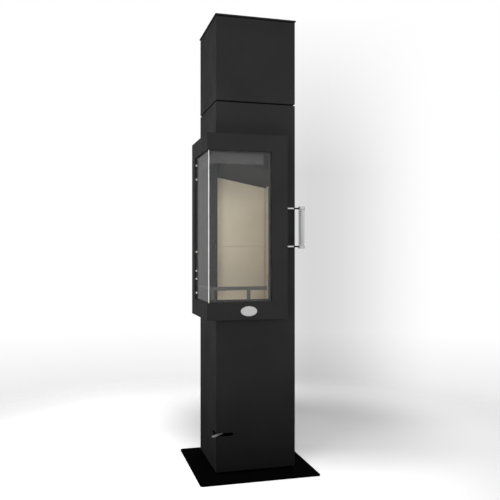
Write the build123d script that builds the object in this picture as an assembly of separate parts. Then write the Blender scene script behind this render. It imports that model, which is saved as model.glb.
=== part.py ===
from build123d import *
import math
import os

# Heat storage wood stove: a tall square steel column with a corner-glazed door head
# Lengths are in millimetres and angles in degrees. Shapes are drawn from the column's front left
# bottom corner, with +X to the right, +Y to the back and +Z up, and saved with the middle of the
# floor plate's underside at 0, 0, 0

# Floor plate, plinth and feet
plate_side = 530.0
plate_thickness = 6.0
plate_corner_radius = 12.0
plate_left_margin = 90.0
plate_front_margin = 115.0
plinth_height = 10.0
plinth_recess = 22.0
plinth_width = 24.0
foot_radius = 14.0
foot_stand_off = 8.0
foot_pad = 6.0
foot_stud_radius = 5.0

# Column and heat storage box
column_side = 360.0
lower_height = 1609.0
joint_height = 7.0
joint_recess = 7.0
joint_width = 24.0
storage_height = 364.0
lid_gap = 4.0
lid_gap_recess = 6.0
lid_thickness = 6.0
lid_overhang = 4.0
lid_corner = 1.0
sheet = 3.0
fit_gap = 0.5
panel_thickness = 4.0
flange_width = 16.0
post_leg = 16.0
post_sheet = 3.0
cradle_thickness = 6.0
cradle_width = 32.0
running_gap = 0.08
seal_gap = 0.3
screw_radius = 2.0
screw_head_radius = 4.0
screw_head_height = 2.2
screw_end_inset = 27.0
lower_screw_count = 8
upper_screw_count = 3

# Door head
door_step = 50.0
door_drop = 36.0
door_height = 800.0
door_back_gap = 1.0
door_sheet = 3.0
bottom_rail = 73.0
top_rail = 73.0
stile_width = 72.0
glass_inset = 8.0
glass_thickness = 4.0
glass_edge_gap = 1.0
glass_joint_leg = 3.3
glass_joint_sheet = 0.8
glass_seal_thickness = 2.0
glass_seal_width = 8.0
strip_width = 10.0
strip_foot = 14.0
strip_thickness = 3.0
clip_size = 8.0
clip_set_back = 4.0
clip_offsets = (-298.0, -233.0, -196.0, -108.0, 229.0, 294.0)
door_seal_width = 10.0
door_seal_offset = 10.0
cutout_margin = 10.0
oval_width = 72.5
oval_height = 43.0
oval_right = 3.4
oval_thickness = 3.0
oval_edge = 0.8

# Air-wash plate and log guard, both carried by the door
wash_inset = 23.0
wash_drop = 53.0
wash_sheet = 2.0
wash_end_gap = 26.0
wash_flange = 12.0
guard_inset = 9.0
guard_height = 69.0
guard_bar = 16.0
guard_corner = 14.0
guard_sheet = 4.0
guard_end_gap = 17.0
guard_post_pitch = 159.0

# Hinges
hinge_back = 7.0
hinge_side = 7.0
hinge_radius = 6.0
hinge_pin_radius = 3.5
hinge_pin_head = 4.0
hinge_pin_tail = 2.0
hinge_eye_height = 26.0
hinge_lug_height = 12.0
hinge_inset = 110.0
hinge_leaf = 23.0
hinge_leaf_sheet = 2.0

# Handle and latch
shaft_inset = 16.0
shaft_left = 42.0
shaft_radius = 6.0
shaft_overrun = 80.0
handle_pitch = 168.0
handle_arm_radius = 3.2
handle_reach = 111.5
grip_radius = 14.0
grip_length = 185.0
grip_cap_height = 14.0
grip_cap_edge = 2.0
grip_core_radius = 5.0
coil_wire_radius = 2.0
coil_pitch = 9.0
ferrule_radius = 3.7
ferrule_length = 23.5
slot_clear = 4.0
latch_turn = 12.0
leave_angle = 40.8
hook_offset = 50.0
hook_thickness = 5.0
hook_hub_radius = 10.0
hook_half_width = 3.0
hook_barb_start = 31.0
hook_barb_length = 5.0
hook_barb_reach = 8.0
keeper_pin_radius = 4.0
keeper_along = 24.0
keeper_across = 13.0
keeper_lug_thickness = 3.0
keeper_play = 1.5
keeper_half_width = 7.0
keeper_window_side = 6.0
bearing_height = 12.0
bearing_half = 11.0

# Firebox
shell_wall = 4.0
shell_height = 740.0
convection_gap = 21.0
floor_tile_thickness = 21.0
lining_thickness = 24.0
board_thickness = 19.5
lining_course = 258.0
joint_play = 0.4
corner_gap = 2.4
baffle_rise = 542.0
baffle_slope = 0.19
baffle_thickness = 25.0
baffle_front_gap = 42.0
baffle_left_gap = 54.0
air_post_side = 50.0
air_post_wall = 2.0
air_outlet_height = 24.0

# Grate and ash pan
grate_left = 73.0
grate_front = 63.0
grate_side = 170.0
grate_thickness = 10.0
grate_slot = 9.0
grate_bar = 9.0
grate_rim = 16.0
grate_play = 1.0
well_opening = 150.0
well_depth = 98.0
well_sheet = 2.0
well_air_radius = 35.0
pan_play = 2.0
pan_sheet = 1.5
pan_height = 68.0
bail_radius = 2.5
bail_drop = 8.0

# Air supply and air control
duct_sheet = 2.0
air_box_inset = 30.0
air_box_height = 151.0
lever_clearance = 5.0
lever_slot_height = 15.0
lever_slot_reach = 76.0
lever_direction = 225.0
pivot_inset = 100.0
lever_thickness = 3.0
lever_width = 16.0
lever_length = 170.0
lever_hub_radius = 12.0
spindle_radius = 5.0
spindle_collar_radius = 9.0
spindle_head_height = 5.0
nut_height = 5.0
nut_radius = 9.0
shutter_thickness = 2.7
shutter_radius = 92.0
shutter_hub_radius = 12.0
shutter_span = 62.0
shutter_lead = -152.0
port_side = 46.0
port_offset = 44.0
supply_side = 60.0
plenum_height = 42.0
plenum_inset = 22.0
inlet_radius = 50.0
inlet_height = 95.0
inlet_wall = 2.0
inlet_stub = 38.0

# Smoke path and heat storage
smoke_width = 200.0
smoke_front = 100.0
smoke_height = 160.0
smoke_wall = 3.0
deck_clearance = 5.0
flue_radius = 75.0
flue_wall = 3.0
flue_stub = 45.0
root_step = 1.0
collar_play = 2.0
riser_radius = 60.0
riser_wall = 2.0
riser_height = 300.0
riser_play = 3.0
throat_radius = 55.0
stone_count = 3
stone_height = 104.0
stone_gap = 12.0
stone_corner = 4.0

# Derived places of the column and the storage box
origin_x = plate_left_margin - plate_side / 2
origin_y = plate_front_margin - plate_side / 2
origin_z = plate_thickness + plinth_height
middle = column_side / 2
inner_low = sheet + fit_gap
inner_high = column_side - sheet - fit_gap
panel_front = column_side - sheet
carcass_back = panel_front - sheet
storage_bottom = lower_height + joint_height
storage_top = storage_bottom + storage_height
lid_bottom = storage_top + lid_gap
deck_bottom = lower_height - panel_thickness
smoke_top = deck_bottom - deck_clearance
shell_top = smoke_top - smoke_height
shell_bottom = shell_top - shell_height
cradle_bottom = shell_bottom - cradle_thickness

# Derived places of the door head
door_bottom = shell_bottom - door_drop
door_top = door_bottom + door_height
door_out = -door_step
door_in = -door_back_gap
door_end = column_side - door_step
window_edge = door_end - stile_width
window_bottom = door_bottom + bottom_rail
window_top = door_top - top_rail
window_middle = (door_bottom + door_top) / 2
glass_out = door_out + glass_inset
glass_in = glass_out + glass_thickness
seal_in = glass_in + glass_seal_thickness
strip_in = seal_in + strip_thickness
seal_reach = door_seal_offset + door_seal_width
cutout_edge = window_edge + seal_reach + cutout_margin
cutout_bottom = window_bottom - seal_reach - cutout_margin
cutout_top = window_top + seal_reach + cutout_margin
hinge_x = -hinge_side
hinge_y = door_end + hinge_back
shaft_x = door_end - shaft_left
shaft_y = door_out + shaft_inset
grip_x = shaft_x + handle_reach
arm_heights = (window_middle - handle_pitch / 2, window_middle + handle_pitch / 2)
hook_heights = (arm_heights[0] - hook_offset, arm_heights[1] + hook_offset)
leave_cosine = math.cos(math.radians(leave_angle))
leave_sine = math.sin(math.radians(leave_angle))
keeper_x = shaft_x + keeper_along * leave_cosine - keeper_across * leave_sine
keeper_y = shaft_y + keeper_along * leave_sine + keeper_across * leave_cosine
keeper_low = hook_thickness / 2 + keeper_play
keeper_high = keeper_low + keeper_lug_thickness

# Derived places of the firebox, the air supply and the smoke path
shell_low = inner_low
shell_high = column_side - sheet - convection_gap
cavity_low = shell_low + shell_wall
cavity_high = shell_high - shell_wall
tile_bottom = shell_bottom + shell_wall
tile_top = tile_bottom + floor_tile_thickness
lining_joint = tile_top + lining_course
baffle_corner_height = tile_top + baffle_rise
tile_low = cavity_low + joint_play
tile_high = cavity_high - joint_play
lining_right = cavity_high - lining_thickness
lining_back = cavity_high - board_thickness - fit_gap - lining_thickness
air_post_left = cavity_low + fit_gap
air_post_front = window_edge
air_post_top = shell_top - shell_wall
grate_bottom = tile_top - grate_thickness
well_left = grate_left + (grate_side - well_opening) / 2
well_front = grate_front + (grate_side - well_opening) / 2
well_bottom = shell_bottom - well_depth
plenum_bottom = well_bottom - plenum_height
air_box_far = column_side - air_box_inset
air_box_top = panel_thickness + air_box_height
air_box_ceiling = air_box_top - duct_sheet
lever_bottom = air_box_top + lever_clearance
lever_top = lever_bottom + lever_thickness
lever_height = (lever_bottom + lever_top) / 2
port_middle = pivot_inset + port_offset
supply_low = port_middle - supply_side / 2
supply_high = supply_low + supply_side
smoke_left = (column_side - smoke_width) / 2
smoke_right = smoke_left + smoke_width
flue_height = shell_top + smoke_height / 2
baffle_left = cavity_low + baffle_left_gap
baffle_front = cavity_low + baffle_front_gap

os.makedirs("parts", exist_ok=True)


def block(x0, x1, y0, y1, z0, z1):
    """A box between two corners."""
    size = Box(x1 - x0, y1 - y0, z1 - z0)
    return Pos((x0 + x1) / 2, (y0 + y1) / 2, (z0 + z1) / 2) * size


def square(low, high, z0, z1):
    """A box with the same span in X and Y."""
    return block(low, high, low, high, z0, z1)


def elbow(out, inside, end, z0, z1):
    """An L in plan round the front left corner, with both legs up to end."""
    return square(out, end, z0, z1) - square(inside, end + 1, z0 - 1, z1 + 1)


def post(x, y, radius, z0, z1):
    """An upright round bar."""
    return Pos(x, y, (z0 + z1) / 2) * Cylinder(radius, z1 - z0)


def along_y(x, z, radius, y0, y1):
    """A round bar along Y."""
    return Pos(x, (y0 + y1) / 2, z) * Rot(90, 0, 0) * Cylinder(radius, y1 - y0)


def along_x(y, z, radius, x0, x1):
    """A round bar along X."""
    return Pos((x0 + x1) / 2, y, z) * Rot(0, 90, 0) * Cylinder(radius, x1 - x0)


def group(shapes):
    """Separate solids kept in one node."""
    solids = []
    for shape in shapes:
        solids.extend(shape.solids())
    return Compound(solids)


def save(name, shape):
    """Move a shape to the floor plate's frame and write it."""
    placed = Pos(origin_x, origin_y, origin_z) * shape
    export_step(placed, "parts/" + name + ".step")


# Floor plate, plinth, base and feet
def build_base():
    plate = block(-plate_left_margin, plate_side - plate_left_margin, -plate_front_margin,
                  plate_side - plate_front_margin, -plinth_height - plate_thickness, -plinth_height)
    save("floor_plate", fillet(plate.edges().filter_by(Axis.Z), plate_corner_radius))
    plinth_high = column_side - plinth_recess
    plinth = square(plinth_recess, plinth_high, -plinth_height, 0)
    plinth -= square(plinth_recess + plinth_width, plinth_high - plinth_width, -plinth_height - 1, 1)
    save("plinth_frame", plinth)
    panel = block(inner_low, inner_high, inner_low, carcass_back, 0, panel_thickness)
    feet = []
    inset = plinth_recess + plinth_width + foot_radius + foot_stand_off
    for x in (inset, column_side - inset):
        for y in (inset, column_side - inset):
            foot = post(x, y, foot_radius, -plinth_height, -plinth_height + foot_pad)
            foot += post(x, y, foot_stud_radius, -plinth_height, panel_thickness)
            feet.append(foot)
            panel -= post(x, y, foot_stud_radius + running_gap, -1, panel_thickness + 1)
    save("levelling_feet", group(feet))
    save("base_panel", panel)


# Column carcass
def angle_post(x, y, side_x, side_y, z0, z1):
    """An upright angle with its corner at x, y and its legs along side_x and side_y."""
    x_leg = sorted((x, x + side_x * post_leg))
    y_leg = sorted((y, y + side_y * post_leg))
    x_wall = sorted((x, x + side_x * post_sheet))
    y_wall = sorted((y, y + side_y * post_sheet))
    return block(*x_leg, *y_wall, z0, z1) + block(*x_wall, *y_leg, z0, z1)


def build_posts():
    lower = []
    upper = []
    for side_x in (1, -1):
        x = inner_low if side_x == 1 else inner_high
        for side_y in (1, -1):
            y = inner_low if side_y == 1 else carcass_back
            front_left = side_x == 1 and side_y == 1
            lower_post = angle_post(x, y, side_x, side_y, panel_thickness, cradle_bottom)
            if front_left:
                lower_post -= square(inner_low - 1, inner_low + post_leg + 1,
                                     lever_height - lever_slot_height, lever_height + lever_slot_height)
            lower.append(lower_post)
            foot = shell_top if front_left else shell_bottom
            upper.append(angle_post(x, y, side_x, side_y, foot, deck_bottom))
    save("lower_posts", group(lower))
    save("upper_posts", group(upper))


def build_decks():
    cradle = block(inner_low, inner_high, inner_low, carcass_back, cradle_bottom, shell_bottom)
    cradle -= block(inner_low + cradle_width, inner_high - cradle_width, inner_low + cradle_width,
                    carcass_back - cradle_width, cradle_bottom - 1, shell_bottom + 1)
    cradle -= air_post_hole(cradle_bottom, shell_bottom)
    save("firebox_cradle", cradle)
    deck = block(inner_low, inner_high, inner_low, carcass_back, deck_bottom, lower_height)
    deck -= post(middle, middle, riser_radius + riser_play, deck_bottom - 1, lower_height + 1)
    save("top_deck", deck)
    joint = square(joint_recess, column_side - joint_recess, lower_height, storage_bottom)
    joint -= square(joint_recess + joint_width, column_side - joint_recess - joint_width,
                    lower_height - 1, storage_bottom + 1)
    save("joint_frame", joint)


# Outer skins
def skin(z0, z1):
    """Front, left and right walls in one folded sheet, with a flange behind each side wall."""
    shape = square(0, column_side, z0, z1)
    shape -= block(sheet, column_side - sheet, sheet, column_side + 1, z0 - 1, z1 + 1)
    for x in (sheet, column_side - sheet - flange_width):
        shape += block(x, x + flange_width, carcass_back, panel_front, z0, z1)
    return shape


def inward_flange(z0, z1):
    """The folded edge inside a skin's front and side walls."""
    shape = block(sheet, column_side - sheet, sheet, carcass_back, z0, z1)
    return shape - block(sheet + flange_width, column_side - sheet - flange_width, sheet + flange_width,
                         column_side, z0 - 1, z1 + 1)


def lever_slot():
    """The slot round the front left corner, with round ends."""
    half = lever_slot_height / 2
    end = lever_slot_reach - half
    slot = elbow(-1, sheet + 1, end, lever_height - half, lever_height + half)
    slot += along_y(end, lever_height, half, -1, sheet + 1)
    slot += along_x(end, lever_height, half, -1, sheet + 1)
    return slot


def screw_places(z0, z1, count):
    """Screw centres down both edges of a rear panel."""
    places = []
    step = (z1 - z0 - 2 * screw_end_inset) / (count - 1)
    for x in (sheet + flange_width / 2, column_side - sheet - flange_width / 2):
        for index in range(count):
            places.append((x, z0 + screw_end_inset + index * step))
    return places


def screw_holes(places):
    """The clearance holes of the rear screws."""
    holes = []
    for x, z in places:
        holes.append(along_y(x, z, screw_radius + running_gap, carcass_back - 1, column_side + 1))
    return holes


def rear_screw(x, z):
    """A pan head screw that holds a rear panel to the skin's flange."""
    head = along_y(x, z, screw_head_radius, column_side, column_side + screw_head_height)
    rim = head.edges().filter_by(GeomType.CIRCLE).sort_by(Axis.Y)[-1:]
    head = fillet(rim, screw_head_height / 2)
    return head + along_y(x, z, screw_radius, carcass_back, column_side)


def build_skins():
    lower_screws = screw_places(0, lower_height, lower_screw_count)
    upper_screws = screw_places(storage_bottom, storage_top, upper_screw_count)
    casing = skin(0, lower_height) - square(-1, cutout_edge, cutout_bottom, cutout_top) - lever_slot()
    notch_end = keeper_x + keeper_half_width + keeper_play
    notch_half = keeper_high + keeper_play
    for z in hook_heights:
        casing -= block(cutout_edge - 1, notch_end, -1, sheet + 1, z - notch_half, z + notch_half)
    casing -= screw_holes(lower_screws)
    save("column_casing", casing)
    top = skin(storage_bottom, storage_top)
    top += inward_flange(storage_bottom, storage_bottom + sheet)
    top += inward_flange(storage_top - sheet, storage_top)
    top -= screw_holes(upper_screws)
    save("storage_casing", top)
    rear = block(inner_low, inner_high, panel_front, column_side, 0, lower_height)
    rear -= screw_holes(lower_screws)
    rear -= along_y(middle, inlet_height, inlet_radius + collar_play, carcass_back, column_side + 1)
    rear -= along_y(middle, flue_height, flue_radius + collar_play, carcass_back, column_side + 1)
    save("rear_panel", rear)
    storage_rear = block(inner_low, inner_high, panel_front, column_side, storage_bottom, storage_top)
    save("storage_rear_panel", storage_rear - screw_holes(upper_screws))
    save("rear_screws", group([rear_screw(x, z) for x, z in lower_screws + upper_screws]))
    frame_high = column_side - lid_gap_recess
    lid_frame = square(lid_gap_recess, frame_high, storage_top, lid_bottom)
    lid_frame -= square(lid_gap_recess + joint_width, frame_high - joint_width,
                        storage_top - 1, lid_bottom + 1)
    save("lid_frame", lid_frame)
    lid = square(-lid_overhang, column_side + lid_overhang, lid_bottom, lid_bottom + lid_thickness)
    save("lid", chamfer(lid.edges().filter_by(Axis.Z), lid_corner))


# Heat storage
def build_storage():
    floor_bottom = storage_bottom + sheet
    stones_bottom = floor_bottom + panel_thickness
    storage_floor = block(inner_low, inner_high, inner_low, carcass_back, floor_bottom, stones_bottom)
    storage_floor -= post(middle, middle, riser_radius + riser_play, floor_bottom - 1, stones_bottom + 1)
    save("storage_floor", storage_floor)
    stones = []
    for index in range(stone_count):
        bottom = stones_bottom + index * stone_height
        stone = block(inner_low + stone_gap, inner_high - stone_gap, inner_low + stone_gap,
                      carcass_back - stone_gap, bottom, bottom + stone_height)
        stone = chamfer(stone.edges().filter_by(Axis.Z), stone_corner)
        stone -= post(middle, middle, riser_radius + riser_play, bottom - 1, bottom + stone_height + 1)
        stones.append(stone)
    save("storage_stones", group(stones))
    riser = post(middle, middle, riser_radius, smoke_top, smoke_top + riser_height)
    riser -= post(middle, middle, riser_radius - riser_wall, smoke_top - 1,
                  smoke_top + riser_height - riser_wall)
    save("heat_riser", riser)


# Smoke box and flue collar
def stub_collar(z, radius, wall, start, stub):
    """Outside and bore of a pipe collar: a slightly thinner root inside the column, then the stub."""
    end = column_side + stub
    outside = along_y(middle, z, radius - root_step, start, column_side)
    outside += along_y(middle, z, radius, column_side, end)
    return outside, along_y(middle, z, radius - wall, start - 1, end + 1)


def build_smoke_path():
    box = block(smoke_left, smoke_right, smoke_front, shell_high, shell_top, smoke_top)
    box -= block(smoke_left + smoke_wall, smoke_right - smoke_wall, smoke_front + smoke_wall,
                 shell_high - smoke_wall, shell_top + smoke_wall, smoke_top - smoke_wall)
    box -= post(middle, middle, throat_radius, shell_top - 1, smoke_top + 1)
    box -= along_y(middle, flue_height, flue_radius - root_step, shell_high - smoke_wall - 1, shell_high + 1)
    save("smoke_box", box)
    outside, bore = stub_collar(flue_height, flue_radius, flue_wall, shell_high - smoke_wall, flue_stub)
    save("flue_collar", outside - bore)


# Combustion air
def air_post_hole(z0, z1):
    """Room for the air post through a floor between two heights."""
    return block(air_post_left - running_gap, air_post_left + air_post_side + running_gap,
                 air_post_front - running_gap, air_post_front + air_post_side + running_gap, z0 - 1, z1 + 1)


def fan(radius, start, span, z0, z1):
    """A flat slice of a disc, from an angle in degrees over a span."""
    corners = [(0, 0)]
    steps = 4
    for index in range(steps + 1):
        angle = math.radians(start + span * index / steps)
        corners.append((2 * radius * math.cos(angle), 2 * radius * math.sin(angle)))
    wedge = extrude(Pos(0, 0, z0) * make_face(Polyline(*corners, close=True)), z1 - z0)
    return post(0, 0, radius, z0, z1) & wedge


def build_air_supply():
    box = square(air_box_inset, air_box_far, panel_thickness, air_box_top)
    box -= square(air_box_inset + duct_sheet, air_box_far - duct_sheet, panel_thickness + duct_sheet,
                  air_box_ceiling)
    port_low = port_middle - port_side / 2
    box -= square(port_low, port_low + port_side, air_box_ceiling - 1, air_box_top + 1)
    box -= post(pivot_inset, pivot_inset, spindle_radius + running_gap, air_box_ceiling - 1, air_box_top + 1)
    outside, bore = stub_collar(inlet_height, inlet_radius, inlet_wall, air_box_far - duct_sheet, inlet_stub)
    save("air_box", box + outside - bore)
    duct = square(supply_low, supply_high, air_box_top, plenum_bottom)
    duct -= square(supply_low + duct_sheet, supply_high - duct_sheet, air_box_top - 1, plenum_bottom + 1)
    save("supply_duct", duct)
    plenum_high = column_side - plenum_inset
    cover_bottom = well_bottom - duct_sheet
    plenum = square(plenum_inset, plenum_high, plenum_bottom, cover_bottom)
    plenum -= square(plenum_inset + duct_sheet, plenum_high - duct_sheet, plenum_bottom + duct_sheet,
                     cover_bottom + 1)
    plenum -= square(supply_low + duct_sheet, supply_high - duct_sheet, plenum_bottom - 1,
                     plenum_bottom + duct_sheet + 1)
    save("air_plenum", plenum)
    cover = square(plenum_inset, plenum_high, cover_bottom, well_bottom)
    cover -= well_air_hole(cover_bottom, well_bottom)
    cover -= air_post_bore(cover_bottom, well_bottom)
    save("plenum_cover", cover)
    air_post = air_post_body(well_bottom, air_post_top)
    air_post -= air_post_bore(well_bottom, air_post_top - air_post_wall - 1)
    outlet_top = air_post_top - 2 * air_post_wall
    air_post -= block(air_post_left + air_post_wall * 2, air_post_left + air_post_side - air_post_wall * 2,
                      air_post_front - 1, air_post_front + air_post_wall + 1,
                      outlet_top - air_outlet_height, outlet_top)
    save("air_post", air_post)


def air_post_body(z0, z1):
    """The air post's outside between two heights."""
    return block(air_post_left, air_post_left + air_post_side, air_post_front,
                 air_post_front + air_post_side, z0, z1)


def air_post_bore(z0, z1):
    """The air post's inside, cut past both heights."""
    inset = air_post_wall
    return block(air_post_left + inset, air_post_left + air_post_side - inset,
                 air_post_front + inset, air_post_front + air_post_side - inset, z0 - 1, z1 + 1)


def well_air_hole(z0, z1):
    """The hole that lets primary air into the ash well."""
    x = well_left + well_opening / 2
    y = well_front + well_opening / 2
    return post(x, y, well_air_radius, z0 - 1, z1 + 1)


# Air control, which turns about the spindle
def build_air_control():
    place = Pos(pivot_inset, pivot_inset, 0)
    bore = spindle_radius + running_gap
    shutter_top = air_box_ceiling - seal_gap
    shutter_bottom = shutter_top - shutter_thickness
    spindle = post(0, 0, spindle_radius, shutter_bottom - nut_height, lever_top)
    spindle += post(0, 0, spindle_collar_radius, air_box_top + seal_gap, lever_bottom)
    spindle += post(0, 0, spindle_collar_radius, lever_top, lever_top + spindle_head_height)
    nut = extrude(Pos(0, 0, shutter_bottom - nut_height) * RegularPolygon(nut_radius, 6), nut_height)
    nut -= post(0, 0, bore, shutter_bottom - nut_height - 1, shutter_bottom + 1)
    save("valve_spindle", place * group([spindle, nut]))
    start = lever_direction + shutter_lead - shutter_span / 2
    shutter = fan(shutter_radius, start, shutter_span, shutter_bottom, shutter_top)
    shutter += post(0, 0, shutter_hub_radius, shutter_bottom, shutter_top)
    shutter -= post(0, 0, bore, shutter_bottom - 1, shutter_top + 1)
    save("air_shutter", place * shutter)
    straight = lever_length - lever_width / 2
    lever = block(0, straight, -lever_width / 2, lever_width / 2, lever_bottom, lever_top)
    lever += post(straight, 0, lever_width / 2, lever_bottom, lever_top)
    lever += post(0, 0, lever_hub_radius, lever_bottom, lever_top)
    lever -= post(0, 0, bore, lever_bottom - 1, lever_top + 1)
    save("air_lever", place * Rot(0, 0, lever_direction) * lever)


# Firebox
def baffle_half_space():
    """Everything above the baffle's tilted underside, which rises towards both panes."""
    tilt = Plane(origin=(lining_right, lining_back, baffle_corner_height),
                 z_dir=(baffle_slope, baffle_slope, 1))
    return tilt.location * Pos(0, 0, shell_height) * Box(4 * column_side, 4 * column_side, 2 * shell_height)


def build_shell():
    shell = square(shell_low, shell_high, shell_bottom, shell_top)
    shell -= square(cavity_low, cavity_high, shell_bottom + shell_wall, shell_top - shell_wall)
    shell -= square(shell_low - 1, window_edge, window_bottom, window_top)
    shell -= well_shaft(shell_bottom - 1, shell_bottom + shell_wall + 1)
    shell -= air_post_hole(shell_bottom, shell_bottom + shell_wall)
    shell -= post(middle, middle, throat_radius, shell_top - shell_wall - 1, shell_top + 1)
    save("firebox_shell", shell)


def well_shaft(z0, z1):
    """The square way from the firebox down to the ash pan."""
    return block(well_left, well_left + well_opening, well_front, well_front + well_opening, z0, z1)


def build_lining():
    tiles = square(tile_low, tile_high, tile_bottom, tile_top)
    tiles -= well_shaft(tile_bottom - 1, tile_top + 1)
    tiles -= air_post_hole(tile_bottom, tile_top)
    tiles -= block(grate_left - grate_play, grate_left + grate_side + grate_play, grate_front - grate_play,
                   grate_front + grate_side + grate_play, grate_bottom - seal_gap, tile_top + 1)
    save("floor_tiles", tiles)
    over = baffle_half_space()
    back_left = air_post_left + air_post_side + joint_play
    board_front = lining_back + lining_thickness
    backs = []
    sides = []
    for z0, z1 in ((tile_top, lining_joint), (lining_joint, shell_top)):
        backs.append(block(back_left, lining_right - corner_gap, lining_back, board_front, z0, z1) - over)
        sides.append(block(lining_right, tile_high, tile_low, board_front - joint_play, z0, z1) - over)
    save("back_lining", group(backs))
    save("side_lining", group(sides))
    board = block(back_left, tile_high, board_front, board_front + board_thickness, tile_top, shell_top)
    save("insulation_board", board - over)
    baffle = block(baffle_left, tile_high, baffle_front, tile_high, tile_top, shell_top) & over
    save("baffle_plate", baffle - Pos(0, 0, baffle_thickness) * over)


def build_grate_and_pan():
    grate = block(grate_left, grate_left + grate_side, grate_front, grate_front + grate_side,
                  grate_bottom, tile_top)
    inner = grate_side - 2 * grate_rim
    count = int((inner + grate_bar) // (grate_slot + grate_bar))
    used = count * grate_slot + (count - 1) * grate_bar
    first = grate_front + (grate_side - used) / 2
    for index in range(count):
        y = first + index * (grate_slot + grate_bar)
        grate -= block(grate_left + grate_rim, grate_left + grate_side - grate_rim, y, y + grate_slot,
                       grate_bottom - 1, tile_top + 1)
    save("grate", grate)
    well = block(well_left - well_sheet, well_left + well_opening + well_sheet, well_front - well_sheet,
                 well_front + well_opening + well_sheet, well_bottom, shell_bottom)
    well -= well_shaft(well_bottom + well_sheet, shell_bottom + 1)
    well -= well_air_hole(well_bottom, well_bottom + well_sheet)
    save("ash_well", well)
    pan_bottom = well_bottom + well_sheet + seal_gap
    pan_top = pan_bottom + pan_height
    x0 = well_left + pan_play
    x1 = well_left + well_opening - pan_play
    y0 = well_front + pan_play
    y1 = well_front + well_opening - pan_play
    pan = block(x0, x1, y0, y1, pan_bottom, pan_top)
    pan -= block(x0 + pan_sheet, x1 - pan_sheet, y0 + pan_sheet, y1 - pan_sheet, pan_bottom + pan_sheet,
                 pan_top + 1)
    pan += along_y((x0 + x1) / 2, pan_top - bail_drop, bail_radius, y0, y1)
    save("ash_pan", pan)


# Door head
def build_door_frame():
    frame = elbow(door_out, door_in, door_end, door_bottom, door_top)
    frame -= square(door_out - 1, window_edge, window_bottom, window_top)
    hollow = elbow(door_out + door_sheet, door_in - door_sheet, door_end - door_sheet,
                   door_bottom + door_sheet, door_top - door_sheet)
    hollow -= square(door_out - 1, window_edge + door_sheet,
                     window_bottom - door_sheet, window_top + door_sheet)
    frame -= hollow
    swing = (door_end - shaft_x) * math.tan(math.radians(latch_turn))
    slot_half = handle_arm_radius + slot_clear
    for z in arm_heights:
        frame -= block(door_end - door_sheet - 1, door_end + 1,
                       shaft_y - slot_half, shaft_y + swing + slot_half, z - slot_half, z + slot_half)
    run = (door_in - keeper_y + keeper_half_width) * leave_cosine / leave_sine
    start = keeper_x - keeper_half_width - keeper_window_side
    end = keeper_x + keeper_half_width + run + keeper_play
    half = keeper_high + keeper_window_side
    for z in hook_heights:
        frame -= block(start, end, door_in - door_sheet - 1, door_in + 1, z - half, z + half)
    save("door_frame", frame)


def window_ring(out, inside, width, foot):
    """A thin ring round the glazed corner: an L at the top and bottom and an upright at each end."""
    low = window_bottom
    high = window_top
    ring = elbow(out, inside, window_edge, low, low + foot)
    ring += elbow(out, inside, window_edge, high - width, high)
    ring += block(window_edge - width, window_edge, out, inside, low, high)
    ring += block(out, inside, window_edge - width, window_edge, low, high)
    return ring


def build_glazing():
    low = window_bottom + glass_edge_gap
    high = window_top - glass_edge_gap
    edge = window_edge - glass_edge_gap
    save("front_glass", block(glass_out, edge, glass_out, glass_in, low, high))
    save("side_glass", block(glass_out, glass_in, glass_in + glass_edge_gap, edge, low, high))
    trim_out = glass_out - glass_joint_sheet
    save("glass_joint_trim", elbow(trim_out, glass_out, trim_out + glass_joint_leg, low, high))
    save("glass_seal", window_ring(glass_in, seal_in, glass_seal_width, glass_seal_width))
    save("glass_retainers", window_ring(seal_in, strip_in, strip_width, strip_foot))
    clips = []
    for offset in clip_offsets:
        z = window_middle + offset
        clips.append(block(door_out + clip_set_back, glass_out, window_edge - clip_size, window_edge,
                           z - clip_size / 2, z + clip_size / 2))
    save("glass_clips", group(clips))


def build_door_trim():
    face = shell_low - seal_gap
    outer = window_edge + seal_reach
    low = window_bottom - seal_reach
    high = window_top + seal_reach
    seal = elbow(door_in, face, outer, low, low + door_seal_width)
    seal += elbow(door_in, face, outer, high - door_seal_width, high)
    seal += block(outer - door_seal_width, outer, door_in, face, low, high)
    seal += block(door_in, face, outer - door_seal_width, outer, low, high)
    save("door_seal", seal)
    wash_out = glass_in + wash_inset
    wash_end = window_edge - wash_end_gap
    wash = elbow(wash_out, wash_out + wash_sheet, wash_end, window_top - wash_drop, window_top)
    wash += elbow(wash_out, wash_out + wash_flange, wash_end, window_top - wash_sheet, window_top)
    save("air_wash_plate", wash)
    guard_out = glass_in + guard_inset
    guard_in = guard_out + guard_sheet
    guard_top = window_bottom + guard_height
    guard_end = window_edge - guard_end_gap
    guard = elbow(guard_out, guard_in, guard_end, guard_top - guard_bar, guard_top)
    guard += elbow(guard_out, guard_in, guard_out + guard_corner, window_bottom, guard_top)
    start = guard_out + guard_post_pitch
    guard += block(start, start + guard_bar, guard_out, guard_in, window_bottom, guard_top)
    guard += block(guard_out, guard_in, start, start + guard_bar, window_bottom, guard_top)
    save("log_guard", guard)
    oval_x = (door_out + door_end) / 2 + oval_right
    oval_z = (door_bottom + window_bottom) / 2
    oval_face = Pos(oval_x, door_out, oval_z) * Rot(90, 0, 0) * Ellipse(oval_width / 2, oval_height / 2)
    oval = extrude(oval_face, oval_thickness)
    save("oval_plate", fillet(oval.faces().sort_by(Axis.Y)[0].edges(), oval_edge))


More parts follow.
